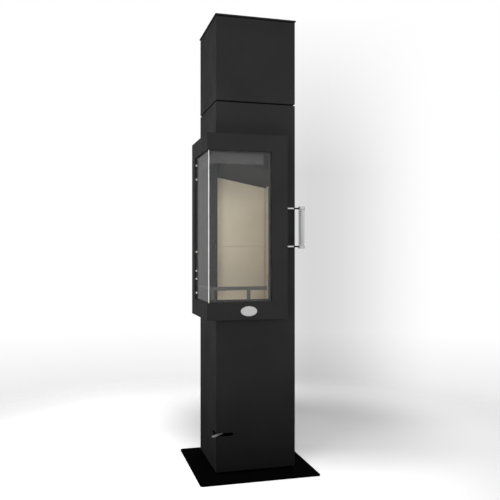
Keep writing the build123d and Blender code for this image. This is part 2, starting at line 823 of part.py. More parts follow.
# Hinges
def build_hinges():
    eyes = []
    lugs = []
    pins = []
    half_eye = hinge_eye_height / 2
    lug_start = half_eye + seal_gap
    lug_end = lug_start + hinge_lug_height
    bore = hinge_pin_radius + running_gap
    leaf_start = hinge_y + hinge_radius + door_back_gap
    for z in (door_bottom + hinge_inset, door_top - hinge_inset):
        eye = post(hinge_x, hinge_y, hinge_radius, z - half_eye, z + half_eye)
        eye += block(hinge_x - hinge_radius, hinge_x + hinge_radius, door_end, hinge_y,
                     z - half_eye, z + half_eye)
        eyes.append(eye - post(hinge_x, hinge_y, bore, z - half_eye - 1, z + half_eye + 1))
        bracket = block(-hinge_leaf_sheet, 0, leaf_start, leaf_start + hinge_leaf, z - lug_end, z + lug_end)
        for low, high in ((z - lug_end, z - lug_start), (z + lug_start, z + lug_end)):
            bracket += post(hinge_x, hinge_y, hinge_radius, low, high)
            bracket += block(hinge_x - hinge_radius, 0, hinge_y, leaf_start + hinge_radius, low, high)
        lugs.append(bracket - post(hinge_x, hinge_y, bore, z - lug_end - 1, z + lug_end + 1))
        pin = post(hinge_x, hinge_y, hinge_pin_radius, z - lug_end - hinge_pin_tail, z + lug_end)
        pin += post(hinge_x, hinge_y, hinge_radius, z + lug_end, z + lug_end + hinge_pin_head)
        pins.append(pin)
    save("door_hinge_eyes", group(eyes))
    save("hinge_brackets", group(lugs))
    save("hinge_pins", group(pins))


# Handle and latch
def build_latch():
    ends = handle_pitch / 2 + shaft_overrun
    shaft = post(shaft_x, shaft_y, shaft_radius, window_middle - ends, window_middle + ends)
    save("latch_shaft", shaft)
    bearings = []
    bearing_reach = ends - bearing_height
    for z in (window_middle - bearing_reach, window_middle + bearing_reach):
        bearing = block(shaft_x - bearing_half, shaft_x + bearing_half, door_out + door_sheet,
                        shaft_y + bearing_half, z - bearing_height / 2, z + bearing_height / 2)
        bearing -= post(shaft_x, shaft_y, shaft_radius + running_gap, z - bearing_height, z + bearing_height)
        bearings.append(bearing)
    save("latch_bearings", group(bearings))
    tip = hook_barb_start + hook_barb_length
    outline = [(0, -hook_half_width), (tip, -hook_half_width), (tip, hook_barb_reach),
               (hook_barb_start, hook_barb_reach), (hook_barb_start, hook_half_width), (0, hook_half_width)]
    hooks = []
    keepers = []
    x0 = keeper_x - keeper_half_width
    x1 = keeper_x + keeper_half_width
    for z in hook_heights:
        hook = extrude(make_face(Polyline(*outline, close=True)), hook_thickness)
        hook += post(0, 0, hook_hub_radius, 0, hook_thickness)
        hook -= post(0, 0, shaft_radius + running_gap, -1, hook_thickness + 1)
        hooks.append(Pos(shaft_x, shaft_y, z - hook_thickness / 2) * Rot(0, 0, leave_angle) * hook)
        keeper = block(x0, x1, shell_low - keeper_lug_thickness, shell_low, z - keeper_high, z + keeper_high)
        for low, high in ((z - keeper_high, z - keeper_low), (z + keeper_low, z + keeper_high)):
            keeper += post(keeper_x, keeper_y, keeper_half_width, low, high)
            keeper += block(x0, x1, keeper_y, shell_low, low, high)
        keeper += post(keeper_x, keeper_y, keeper_pin_radius, z - keeper_low, z + keeper_low)
        keepers.append(keeper)
    save("latch_hooks", group(hooks))
    save("latch_keepers", group(keepers))


def build_handle():
    grip_low = window_middle - grip_length / 2
    grip_high = window_middle + grip_length / 2
    core_low = grip_low + grip_cap_height
    core_high = grip_high - grip_cap_height
    core = post(grip_x, shaft_y, grip_core_radius, core_low, core_high)
    arms = []
    ferrules = []
    face = grip_x - grip_radius
    spans = ((grip_low, core_low), (core_high, grip_high))
    for (low, high), z in zip(spans, arm_heights):
        cap = post(grip_x, shaft_y, grip_radius, low, high)
        cap = fillet(cap.edges().filter_by(GeomType.CIRCLE), grip_cap_edge)
        core += cap
        arm = along_x(shaft_y, z, handle_arm_radius, shaft_x, grip_x)
        arm -= post(shaft_x, shaft_y, shaft_radius, z - grip_radius, z + grip_radius)
        arms.append(arm - cap)
        ferrule = along_x(shaft_y, z, ferrule_radius, face - ferrule_length, grip_x)
        ferrule -= along_x(shaft_y, z, handle_arm_radius, face - ferrule_length - 1, grip_x + 1)
        ferrules.append(ferrule - cap)
    save("grip_core", core)
    save("handle_arms", group(arms))
    save("handle_ferrules", group(ferrules))
    coil_radius = grip_radius - coil_wire_radius
    coil_height = core_high - core_low - 2 * coil_wire_radius
    path = Helix(coil_pitch, coil_height, coil_radius)
    section = Plane(origin=path @ 0, z_dir=path % 0) * Circle(coil_wire_radius)
    coil = sweep(section, path)
    save("grip_coil", Pos(grip_x, shaft_y, core_low + coil_wire_radius) * coil)


build_base()
build_posts()
build_decks()
build_skins()
build_storage()
build_smoke_path()
build_air_supply()
build_air_control()
build_shell()
build_lining()
build_grate_and_pan()
build_door_frame()
build_glazing()
build_door_trim()
build_hinges()
build_latch()
build_handle()
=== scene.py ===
"""Looks of a tall heat storage wood stove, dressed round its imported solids.

Sizes of the pieces are in millimetres, measured from the column's front left bottom corner, with +X to the right,
+Y to the back and +Z up. Those of the finishes and the studio are in metres and degrees. Meshes are written in metres
in the part's own frame.
"""
from __future__ import annotations

import logging
import math
from dataclasses import dataclass, field
from enum import Enum
from typing import Sequence

import bpy
import numpy as np
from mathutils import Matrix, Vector

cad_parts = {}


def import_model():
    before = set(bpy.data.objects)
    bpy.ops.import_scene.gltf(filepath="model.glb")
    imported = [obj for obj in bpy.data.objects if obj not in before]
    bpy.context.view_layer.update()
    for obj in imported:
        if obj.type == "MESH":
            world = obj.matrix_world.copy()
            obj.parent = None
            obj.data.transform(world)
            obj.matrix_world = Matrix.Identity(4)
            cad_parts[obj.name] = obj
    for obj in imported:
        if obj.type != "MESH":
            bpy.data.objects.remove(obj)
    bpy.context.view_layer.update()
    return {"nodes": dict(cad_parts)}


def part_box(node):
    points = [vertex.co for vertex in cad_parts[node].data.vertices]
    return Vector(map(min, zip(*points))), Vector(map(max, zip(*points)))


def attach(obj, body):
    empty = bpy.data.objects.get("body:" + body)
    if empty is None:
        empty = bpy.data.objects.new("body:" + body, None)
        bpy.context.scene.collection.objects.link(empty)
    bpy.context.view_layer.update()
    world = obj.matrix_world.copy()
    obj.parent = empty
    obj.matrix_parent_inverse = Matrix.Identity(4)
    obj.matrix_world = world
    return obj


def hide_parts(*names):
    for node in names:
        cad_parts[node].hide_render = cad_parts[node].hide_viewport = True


log = logging.getLogger("stove")

MILLIMETRE = 0.001
COLUMN_CORNER = np.array([-175.0, -150.0, 16.0])
COLUMN_SIDE = 360.0
SMOOTH_ANGLE = math.radians(32.0)
QUARTER_TURN = math.pi / 2
HALF_TURN = math.pi
FULL_TURN = 2.0 * math.pi
NO_LENGTH = 1e-20
Pair = tuple[float, float]
Triple = tuple[float, float, float]
Colour = Triple
Socket = bpy.types.NodeSocket
Tree = bpy.types.NodeTree
Item = bpy.types.Object
DUST: Colour = (0.42, 0.40, 0.37)
WHITE: Colour = (1.0, 1.0, 1.0)


def grey(level: float) -> Colour:
    """A grey of this level."""
    return (level, level, level)


def opaque(colour: Colour, scale: float = 1.0) -> tuple[float, ...]:
    """A colour multiplied by a scale, with full opacity."""
    return (*(part * scale for part in colour), 1.0)


def round_angles(count: int) -> np.ndarray:
    """Even angles once round, from 0 on."""
    return np.linspace(0.0, FULL_TURN, count, endpoint=False)


def unit(angle: np.ndarray) -> np.ndarray:
    """Points on the unit circle at these angles, with two values in the last axis."""
    return np.stack([np.cos(angle), np.sin(angle)], axis=-1)


def arc(centre: Sequence[float], radius: float, first: float, last: float, count: int) -> np.ndarray:
    """This many plan points on an arc about a centre, from the first angle to the last."""
    return np.array(centre) + radius * unit(np.linspace(first, last, count))


def stand(name: str, data: bpy.types.ID) -> Item:
    """Make an object of this data and put it in the scene.

    Args:
        name: The object's name.
        data: Its mesh, lamp or camera.

    Returns:
        The object.
    """
    made = bpy.data.objects.new(name, data)
    bpy.context.scene.collection.objects.link(made)
    return made


class Body(Enum):
    """The bodies that new pieces ride on."""

    STOVE = "stove"
    DOOR = "door"
    HANDLE = "handle"
    AIR_CONTROL = "air_control"


class Along(Enum):
    """The axis that a prism or a turned shape stands on, as the order of its coordinates."""

    X = (2, 0, 1)
    Y = (0, 2, 1)
    Z = (0, 1, 2)

    def arrange(self, flat: np.ndarray, heights: np.ndarray) -> np.ndarray:
        """Stand flat rings on this axis.

        Args:
            flat: Plan points, shaped rings by points round by 2.
            heights: The height of each ring.

        Returns:
            Points, shaped rings by points round by 3.
        """
        tall = np.broadcast_to(heights[:, None, None], (*flat.shape[:2], 1))
        return np.concatenate([flat, tall], axis=-1)[..., list(self.value)]


@dataclass
class Surface:
    """A closed surface: points, the quads between them, flat end faces, and how much each point is rubbed."""

    points: np.ndarray
    quads: np.ndarray
    caps: list[np.ndarray]
    rub: np.ndarray

    def outward(self) -> Surface:
        """Turn the faces so that the volume they enclose is positive.

        Returns:
            This surface, with its faces pointing out.
        """
        fans = [np.stack([np.full(len(c) - 2, c[0]), c[1:-1], c[2:]], axis=1) for c in self.caps]
        triangles = np.concatenate([self.quads[:, [0, 1, 2]], self.quads[:, [0, 2, 3]], *fans])
        a, b, c = (self.points[triangles[:, i]] for i in range(3))
        if np.einsum("ij,ij->i", a, np.cross(b, c)).sum() < 0:
            self.quads = self.quads[:, ::-1]
            self.caps = [cap[::-1] for cap in self.caps]
        return self

    @staticmethod
    def together(parts: Sequence[Surface]) -> Surface:
        """Gather surfaces into one.

        Args:
            parts: The surfaces, each already pointing out.

        Returns:
            One surface that holds them all.
        """
        starts = np.cumsum([0] + [len(part.points) for part in parts])
        return Surface(
            np.concatenate([part.points for part in parts]),
            np.concatenate([part.quads + start for part, start in zip(parts, starts)]),
            [cap + start for part, start in zip(parts, starts) for cap in part.caps],
            np.concatenate([part.rub for part in parts]),
        )

    def shifted(self, x: float, y: float, z: float) -> Surface:
        """A copy of the surface, moved by these millimetres."""
        return Surface(self.points + np.array([x, y, z]), self.quads, self.caps, self.rub)


def through_rings(rings: np.ndarray, rub: np.ndarray | None = None, looped: bool = False) -> Surface:
    """Join closed rings of points, one after the other.

    The surface's two parameters are the ring's number and the place round the ring. Its first and last rings are
    closed with flat faces, or joined to each other if it is looped.

    Args:
        rings: Points, shaped rings by points round by 3.
        rub: How much each ring is rubbed, from 0 to 1.
        looped: True if the last ring joins the first.

    Returns:
        The closed surface, pointing out.
    """
    count, around = rings.shape[:2]
    number = np.arange(count * around).reshape(count, around)
    here = number if looped else number[:-1]
    beyond = np.roll(number, -1, axis=0) if looped else number[1:]
    quads = np.stack([here, np.roll(here, -1, axis=1), np.roll(beyond, -1, axis=1), beyond], axis=-1)
    caps = [] if looped else [number[0][::-1], number[-1]]
    worn = np.zeros(count) if rub is None else rub
    return Surface(rings.reshape(-1, 3), quads.reshape(-1, 4), caps, np.repeat(worn, around)).outward()


def inward_normals(outline: np.ndarray) -> np.ndarray:
    """Mitre vectors of an anticlockwise outline: moved by one of them, both sides at a corner move in by 1.

    Args:
        outline: Plan points, shaped points by 2.

    Returns:
        One vector for each point.
    """
    side = np.roll(outline, -1, axis=0) - outline
    side /= np.linalg.norm(side, axis=1, keepdims=True)
    normal = np.stack([-side[:, 1], side[:, 0]], axis=1)
    before = np.roll(normal, 1, axis=0)
    return (normal + before) / (1.0 + (normal * before).sum(axis=1, keepdims=True))


def prism(outline: np.ndarray, low: float, high: float, edge: float, along: Along = Along.Z,
          steps: int = 3) -> Surface:
    """A flat-ended prism with rounded edges.

    Each ring is the outline moved in by edge x (1 - sin t) at a height of edge x (1 - cos t) from an end, with t from
    0 at the flat face to a quarter turn at the side.

    Args:
        outline: Anticlockwise plan points, shaped points by 2.
        low: Height of its lower face.
        high: Height of its upper face.
        edge: Radius of its edges.
        along: The axis that it stands on.
        steps: Steps of the rounding.

    Returns:
        The closed surface.
    """
    turn = np.linspace(0.0, QUARTER_TURN, steps + 1)
    inset = edge * (1.0 - np.sin(turn))
    rise = edge * (1.0 - np.cos(turn))
    insets = np.concatenate([inset, inset[::-1]])
    heights = np.concatenate([low + rise, high - rise[::-1]])
    rubbed = np.sin(2.0 * turn)
    flat = outline[None] + insets[:, None, None] * inward_normals(outline)[None]
    return through_rings(along.arrange(flat, heights), np.concatenate([rubbed, rubbed[::-1]]))


def rounded_rectangle(u0: float, u1: float, v0: float, v1: float, radius: float, steps: int = 6) -> np.ndarray:
    """An anticlockwise rectangle with a quarter circle at each corner.

    Args:
        u0: Least first coordinate.
        u1: Greatest first coordinate.
        v0: Least second coordinate.
        v1: Greatest second coordinate.
        radius: Radius of its corners.
        steps: Steps of each corner.

    Returns:
        Points by 2.
    """
    turn = np.linspace(0.0, QUARTER_TURN, steps + 1)[None] + np.arange(4)[:, None] * QUARTER_TURN
    centres = np.array([[u1 - radius, v1 - radius], [u0 + radius, v1 - radius],
                        [u0 + radius, v0 + radius], [u1 - radius, v0 + radius]])
    return (centres[:, None] + radius * unit(turn)).reshape(-1, 2)


def plate(low: np.ndarray, high: np.ndarray, corner: float, edge: float, along: Along = Along.Z,
          steps: int = 6) -> Surface:
    """A plate with round corners that fills a box.

    Args:
        low: The box's lowest corner.
        high: Its highest corner.
        corner: Radius of the plate's corners.
        edge: Radius of its edges.
        along: The axis that it is thin along.
        steps: Steps of each corner.

    Returns:
        The closed surface.
    """
    order = np.argsort(along.value)
    (u0, v0, back), (u1, v1, front) = low[order], high[order]
    return prism(rounded_rectangle(u0, u1, v0, v1, corner, steps), back, front, edge, along)


def turned(profile: Sequence[Pair], centre: Pair, along: Along,
           around: int = 40, looped: bool = False) -> Surface:
    """A turned shape: each profile point (radius, height) swept once round the axis.

    Args:
        profile: Radii and heights, from one end to the other.
        centre: The axis's place in the plan.
        along: The axis's direction.
        around: Points round the axis.
        looped: True if the profile closes on itself, as a pipe's wall does.

    Returns:
        The closed surface.
    """
    radii, heights = np.array(profile, float).T
    flat = np.array(centre) + radii[:, None, None] * unit(round_angles(around))
    return through_rings(along.arrange(flat, heights), looped=looped)


def swept(path: np.ndarray, outward: np.ndarray, profile: np.ndarray, looped: bool) -> Surface:
    """Carry a profile along a path.

    A profile's first coordinate lies along tangent x outward, and its second along outward.

    Args:
        path: Points by 3.
        outward: Unit vectors across the path, points by 3.
        profile: Profile points, either points round by 2 or path points by points round by 2.
        looped: True if the path closes on itself.

    Returns:
        The closed surface.
    """
    if looped:
        tangent = np.roll(path, -1, axis=0) - np.roll(path, 1, axis=0)
    else:
        tangent = np.gradient(path, axis=0)
    tangent /= np.linalg.norm(tangent, axis=1, keepdims=True)
    side = np.cross(tangent, outward)
    side /= np.linalg.norm(side, axis=1, keepdims=True)
    square = np.cross(side, tangent)
    shape = np.broadcast_to(profile, (len(path), *profile.shape[-2:]))
    rings = path[:, None] + shape[..., :1] * side[:, None] + shape[..., 1:] * square[:, None]
    return through_rings(rings, looped=looped)


def settle_normals(mesh: bpy.types.Mesh) -> None:
    """Give each face corner the mean normal of the faces round its point, weighed by their area.

    Only faces within the smooth angle of the corner's own face count, so wide flat faces stay flat beside small
    roundings, and folds stay crisp. The pairs of corners that share a point are worked out for the whole mesh at once.

    Args:
        mesh: The mesh.
    """
    corners = len(mesh.loops)
    point = np.empty(corners, np.int32)
    mesh.loops.foreach_get("vertex_index", point)
    count = len(mesh.polygons)
    sides, area, normal = np.empty(count, np.int32), np.empty(count), np.empty(count * 3)
    mesh.polygons.foreach_get("loop_total", sides)
    mesh.polygons.foreach_get("area", area)
    mesh.polygons.foreach_get("normal", normal)
    normal = normal.reshape(-1, 3)
    order = np.argsort(point, kind="stable")
    face = np.repeat(np.arange(count), sides)[order]
    shared = np.bincount(point)
    group_start = (np.cumsum(shared) - shared)[point[order]]
    meets = shared[point[order]]
    mine = np.repeat(np.arange(corners), meets)
    other = np.repeat(group_start - (np.cumsum(meets) - meets), meets) + np.arange(len(mine))
    near = np.einsum("ij,ij->i", normal[face[mine]], normal[face[other]]) > math.cos(SMOOTH_ANGLE)
    pull = (area[face[other]] * near)[:, None] * normal[face[other]]
    total = np.stack([np.bincount(mine, pull[:, i], minlength=corners) for i in range(3)], axis=1)
    settled = np.empty((corners, 3))
    settled[order] = total / np.maximum(np.linalg.norm(total, axis=1, keepdims=True), NO_LENGTH)
    mesh.normals_split_custom_set(settled.tolist())


class Wiring:
    """Adds shader nodes to one node tree and joins them."""

    def __init__(self, tree: Tree) -> None:
        """Work on this tree."""
        self.tree = tree

    def add(self, kind: str, values: dict[str | int, object] | None = None, **settings: object) -> bpy.types.Node:
        """Add a node.

        Args:
            kind: Blender's name for the shader node, without its first part.
            values: Constants or output sockets for its inputs.
            **settings: The node's own options.

        Returns:
            The node.
        """
        node = self.tree.nodes.new("ShaderNode" + kind)
        for key, value in settings.items():
            setattr(node, key, value)
        for key, value in (values or {}).items():
            self.feed(node.inputs[key], value)
        return node

    def feed(self, socket: Socket, value: object) -> None:
        """Give an input its constant, or join an output to it.

        Args:
            socket: The input.
            value: The constant or the output.
        """
        if isinstance(value, Socket):
            self.tree.links.new(value, socket)
        else:
            socket.default_value = value

    def math(self, operation: str, first: object, second: object) -> Socket:
        """The output of a Math node."""
        return self.add("Math", {0: first, 1: second}, operation=operation).outputs[0]

    def times(self, first: object, second: object) -> Socket:
        """Two values multiplied."""
        return self.math("MULTIPLY", first, second)

    def blend(self, first: object, first_share: float, second: object, second_share: float) -> Socket:
        """Two values added, each multiplied by its share."""
        return self.math("ADD", self.times(first, first_share), self.times(second, second_share))

    def span(self, value: object, low: float, high: float, to_low: float = 0.0, to_high: float = 1.0,
             smooth: bool = False) -> Socket:
        """A value carried from one span to another and held at its ends, evenly or along a smooth step."""
        return self.add("MapRange", {0: value, 1: low, 2: high, 3: to_low, 4: to_high},
                        interpolation_type="SMOOTHSTEP" if smooth else "LINEAR").outputs[0]

    def mixed(self, share: object, first: object, second: object) -> Socket:
        """A mix of two colours."""
        return self.add("Mix", {0: share, 6: first, 7: second}, data_type="RGBA").outputs[2]

    def noise(self, vector: object, scale: object, detail: float = 3.0, roughness: float = 0.55) -> Socket:
        """The value of a noise."""
        return self.add("TexNoise", {"Vector": vector, "Scale": scale, "Detail": detail,
                                     "Roughness": roughness}).outputs["Fac"]

    def stretched(self, vector: object, stretch: object) -> Socket:
        """A vector multiplied by another."""
        return self.add("VectorMath", {0: vector, 1: stretch}, operation="MULTIPLY").outputs[0]

    def split(self, vector: object) -> bpy.types.NodeOutputs:
        """A vector's X, Y and Z, as outputs of these names."""
        return self.add("SeparateXYZ", {0: vector}).outputs


class Effects:
    """Shader effects that several finishes share, each a node group that is built once."""

    PEEL_SCALE = 0.12
    GRAIN_SHARE, PEEL_SHARE = 0.55, 0.45
    CLOUD_SPAN = (0.3, 0.7)
    LINE_SHARE, CELL_SHARE = 0.6, 0.4
    PIT_SCALE = 0.5
    FLAKE_SHARE, PIT_SHARE = 0.5, 0.6
    BOARD_CLOUD_SCALE, BOARD_CLOUD_SPAN = 9.0, (0.32, 0.68)
    RUB_SCALE, RUB_SPAN = 60.0, (0.4, 0.65)
    FILM_SCALE, FILM_SPAN, LEAST_FILM = 14.0, (0.35, 0.75), 0.15
    LOOKS_UP = (0.6, 0.95)

    def __init__(self) -> None:
        """Build the groups."""
        self.sand = self._sand()
        self.brush = self._brush()
        self.board = self._board()
        self.rub = self._rub()
        self.film = self._film()

    @staticmethod
    def _group(name: str, inputs: dict[str, float | None],
               outputs: Sequence[str]) -> tuple[Wiring, bpy.types.NodeOutputs, bpy.types.NodeInputs]:
        """Start a node group.

        Args:
            name: The group's name.
            inputs: Each input's default if it is a number, and None if it is a vector.
            outputs: The names of its outputs, all of them numbers.

        Returns:
            The group's wiring, what it is given, and the sockets that it fills.
        """
        tree = bpy.data.node_groups.new(name, "ShaderNodeTree")
        for label, value in inputs.items():
            kind = "NodeSocketVector" if value is None else "NodeSocketFloat"
            socket = tree.interface.new_socket(name=label, in_out="INPUT", socket_type=kind)
            if value is not None:
                socket.default_value = value
        for label in outputs:
            tree.interface.new_socket(name=label, in_out="OUTPUT", socket_type="NodeSocketFloat")
        return Wiring(tree), tree.nodes.new("NodeGroupInput").outputs, tree.nodes.new("NodeGroupOutput").inputs

    def _sand(self) -> Tree:
        """Fine sprayed grain over broad soft clouds.

        Returns:
            The node group.
        """
        wiring, given, out = self._group("sprayed_grain", {"Vector": None, "Grain": 900.0, "Cloud": 5.0},
                                         ("Height", "Tone"))
        grain = wiring.noise(given["Vector"], given["Grain"], detail=2.0, roughness=0.6)
        peel = wiring.noise(given["Vector"], wiring.times(given["Grain"], self.PEEL_SCALE), detail=1.0)
        cloud = wiring.noise(given["Vector"], given["Cloud"], roughness=0.5)
        wiring.feed(out["Height"], wiring.blend(grain, self.GRAIN_SHARE, peel, self.PEEL_SHARE))
        wiring.feed(out["Tone"], wiring.span(cloud, *self.CLOUD_SPAN))
        return wiring.tree

    def _brush(self) -> Tree:
        """Fine lines that run across the stretch.

        Returns:
            The node group.
        """
        wiring, given, out = self._group("brushed_lines", {"Vector": None, "Stretch": None, "Cells": 60.0},
                                         ("Height", "Tone"))
        drawn = wiring.stretched(given["Vector"], given["Stretch"])
        lines = wiring.noise(drawn, 1.0, detail=4.0, roughness=0.65)
        cells = wiring.add("TexVoronoi", {"Vector": given["Vector"], "Scale": given["Cells"]}).outputs["Color"]
        wiring.feed(out["Height"], lines)
        wiring.feed(out["Tone"], wiring.blend(lines, self.LINE_SHARE, cells, self.CELL_SHARE))
        return wiring.tree

    def _board(self) -> Tree:
        """Pressed flakes: cells of uneven tone, pits between them and darker clouds.

        Returns:
            The node group.
        """
        wiring, given, out = self._group("pressed_flakes", {"Vector": None, "Flakes": 420.0},
                                         ("Height", "Tone", "Cloud"))
        cell = wiring.add("TexVoronoi", {"Vector": given["Vector"], "Scale": given["Flakes"]}).outputs
        pits = wiring.noise(given["Vector"], wiring.times(given["Flakes"], self.PIT_SCALE))
        cloud = wiring.noise(given["Vector"], self.BOARD_CLOUD_SCALE, detail=4.0, roughness=0.6)
        wiring.feed(out["Height"], wiring.blend(cell["Distance"], self.FLAKE_SHARE, pits, self.PIT_SHARE))
        wiring.feed(out["Tone"], wiring.add("SeparateColor", {"Color": cell["Color"]}).outputs[0])
        wiring.feed(out["Cloud"], wiring.span(cloud, *self.BOARD_CLOUD_SPAN))
        return wiring.tree

    def _rub(self) -> Tree:
        """Edges rubbed by hands, where a mesh says that it has an edge, broken up by noise.

        Returns:
            The node group.
        """
        wiring, given, out = self._group("rubbed_edges", {"Vector": None}, ("Mask",))
        edge = wiring.add("Attribute", attribute_name="rub").outputs["Fac"]
        broken = wiring.span(wiring.noise(given["Vector"], self.RUB_SCALE, detail=4.0), *self.RUB_SPAN)
        wiring.feed(out["Mask"], wiring.times(edge, broken))
        return wiring.tree

    def _film(self) -> Tree:
        """A thin uneven film of dust on faces that look up.

        Returns:
            The node group.
        """
        wiring, given, out = self._group("settled_dust", {"Vector": None}, ("Mask",))
        normal = wiring.split(wiring.add("NewGeometry").outputs["Normal"])
        lies = wiring.span(normal["Z"], *self.LOOKS_UP)
        uneven = wiring.noise(given["Vector"], self.FILM_SCALE, detail=5.0, roughness=0.6)
        wiring.feed(out["Mask"], wiring.times(lies, wiring.span(uneven, *self.FILM_SPAN, self.LEAST_FILM)))
        return wiring.tree


class Canvas:
    """One material on its way: its wiring, its object coordinates, its shader and its relief."""

    def __init__(self, name: str) -> None:
        """Start a material.

        Args:
            name: The material's name.
        """
        self.material = bpy.data.materials.new(name)
        self.material.use_nodes = True
        nodes = self.material.node_tree.nodes
        self.wiring = Wiring(self.material.node_tree)
        self.shader, self.surface = nodes["Principled BSDF"], nodes["Material Output"].inputs["Surface"]
        self.place = self.wiring.add("TexCoord").outputs["Object"]

    def set(self, **values: object) -> None:
        """Feed the shader's inputs, named with underscores for spaces."""
        for key, value in values.items():
            self.wiring.feed(self.shader.inputs[key.replace("_", " ")], value)

    def effect(self, group: Tree, **values: object) -> bpy.types.NodeOutputs:
        """The outputs of a shared group that is placed with object coordinates as its vector."""
        return self.wiring.add("Group", {"Vector": self.place, **values}, node_tree=group).outputs

    def relief(self, height: object, depth: float) -> None:
        """Feed the shader a bump of this depth in metres."""
        bump = self.wiring.add("Bump", {"Height": height, "Distance": depth, "Strength": 1.0})
        self.set(Normal=bump.outputs["Normal"])


@dataclass(frozen=True)
class Finish:
    """What every finish has: a name, a colour and a way to its material."""

    name: str
    colour: Colour

    def fill(self, canvas: Canvas, effects: Effects) -> None:
        """Wire the finish.

        Args:
            canvas: The material to wire.
            effects: The shared effects.
        """
        raise NotImplementedError

    def material(self, effects: Effects) -> bpy.types.Material:
        """Build the finish's material.

        Args:
            effects: The shared effects.

        Returns:
            The material.
        """
        canvas = Canvas(self.name)
        self.fill(canvas, effects)
        return canvas.material


@dataclass(frozen=True)
class Paint(Finish):
    """Matte stove paint, sprayed: fine grain, soft clouds, edges rubbed a little lighter, a film of dust."""

    roughness: float = 0.62
    uneven: float = 0.05
    grain: float = 1100.0
    depth: float = 0.00003
    cloud: float = 0.10
    dust: float = 0.02
    rubbed: float = 0.35
    rubbed_tone: float = 2.4
    rubbed_gloss: float = 0.25
    sheen: float = 0.06

    def fill(self, canvas: Canvas, effects: Effects) -> None:
        """Wire the paint.

        Args:
            canvas: The material to wire.
            effects: The shared effects.
        """
        wiring = canvas.wiring
        sand = canvas.effect(effects.sand, Grain=self.grain)
        base = wiring.mixed(sand["Tone"], opaque(self.colour, 1.0 - self.cloud),
                            opaque(self.colour, 1.0 + self.cloud))
        worn = wiring.times(canvas.effect(effects.rub)["Mask"], self.rubbed)
        base = wiring.mixed(worn, base, opaque(self.colour, self.rubbed_tone))
        film = wiring.times(canvas.effect(effects.film)["Mask"], self.dust)
        base = wiring.mixed(film, base, opaque(DUST))
        rough = wiring.span(sand["Tone"], 0.0, 1.0, self.roughness + self.uneven, self.roughness - self.uneven)
        canvas.set(Base_Color=base, Specular_IOR_Level=self.sheen,
                   Roughness=wiring.math("SUBTRACT", rough, wiring.times(worn, self.rubbed_gloss)))
        canvas.relief(sand["Height"], self.depth)


@dataclass(frozen=True)
class Metal(Finish):
    """Bare metal: fine lines or zinc flowers, uneven tone and gloss."""

    roughness: float = 0.35
    gloss_span: Pair = (1.25, 0.8)
    metallic: float = 1.0
    stretch: Triple = (40.0, 900.0, 900.0)
    cells: float = 60.0
    depth: float = 0.00001
    uneven: float = 0.18

    def fill(self, canvas: Canvas, effects: Effects) -> None:
        """Wire the metal.

        Args:
            canvas: The material to wire.
            effects: The shared effects.
        """
        brush = canvas.effect(effects.brush, Stretch=self.stretch, Cells=self.cells)
        base = canvas.wiring.mixed(brush["Tone"], opaque(self.colour, 1.0 - self.uneven), opaque(self.colour))
        rough = canvas.wiring.span(brush["Tone"], 0.0, 1.0, *(self.roughness * share for share in self.gloss_span))
        canvas.set(Base_Color=base, Roughness=rough, Metallic=self.metallic)
        canvas.relief(brush["Height"], self.depth)


@dataclass(frozen=True)
class Board(Finish):
    """Pressed vermiculite, insulation or fired stone: flakes, pits and clouds."""

    flake: Colour
    flakes: float = 420.0
    flake_start: float = 0.35
    flake_share: float = 0.8
    cloud_share: float = 0.22
    cloud_tone: float = 0.62
    rough_span: Pair = (0.95, 0.8)
    sheen: float = 0.2
    depth: float = 0.00045

    def fill(self, canvas: Canvas, effects: Effects) -> None:
        """Wire the board.

        Args:
            canvas: The material to wire.
            effects: The shared effects.
        """
        wiring = canvas.wiring
        board = canvas.effect(effects.board, Flakes=self.flakes)
        share = wiring.span(board["Tone"], self.flake_start, 1.0, to_high=self.flake_share)
        base = wiring.mixed(share, opaque(self.colour), opaque(self.flake))
        cloudy = wiring.times(board["Cloud"], self.cloud_share)
        base = wiring.mixed(cloudy, base, opaque(self.colour, self.cloud_tone))
        canvas.set(Base_Color=base, Roughness=wiring.span(board["Tone"], 0.0, 1.0, *self.rough_span),
                   Specular_IOR_Level=self.sheen)
        canvas.relief(board["Height"], self.depth)


@dataclass(frozen=True)
class Rope(Finish):
    """Woven glass fibre: fibres along the yarn, with painted shade in the hollows between them."""

    fibres: float = 1500.0
    cloud: float = 30.0
    hollow_shade_tone: float = 0.5
    hollow_shade_span: Pair = (0.3, 0.7)
    roughness: float = 0.95
    sheen: float = 0.1
    fuzz: float = 0.3
    depth: float = 0.0002

    def fill(self, canvas: Canvas, effects: Effects) -> None:
        """Wire the rope.

        Args:
            canvas: The material to wire.
            effects: The shared effects.
        """
        sand = canvas.effect(effects.sand, Grain=self.fibres, Cloud=self.cloud)
        # Painted shade: the base is darker where the fibre relief is low, in the hollows between fibres.
        base = canvas.wiring.mixed(canvas.wiring.span(sand["Height"], *self.hollow_shade_span),
                                   opaque(self.colour, self.hollow_shade_tone), opaque(self.colour))
        canvas.set(Base_Color=base, Roughness=self.roughness, Specular_IOR_Level=self.sheen, Sheen_Weight=self.fuzz)
        canvas.relief(sand["Height"], self.depth)


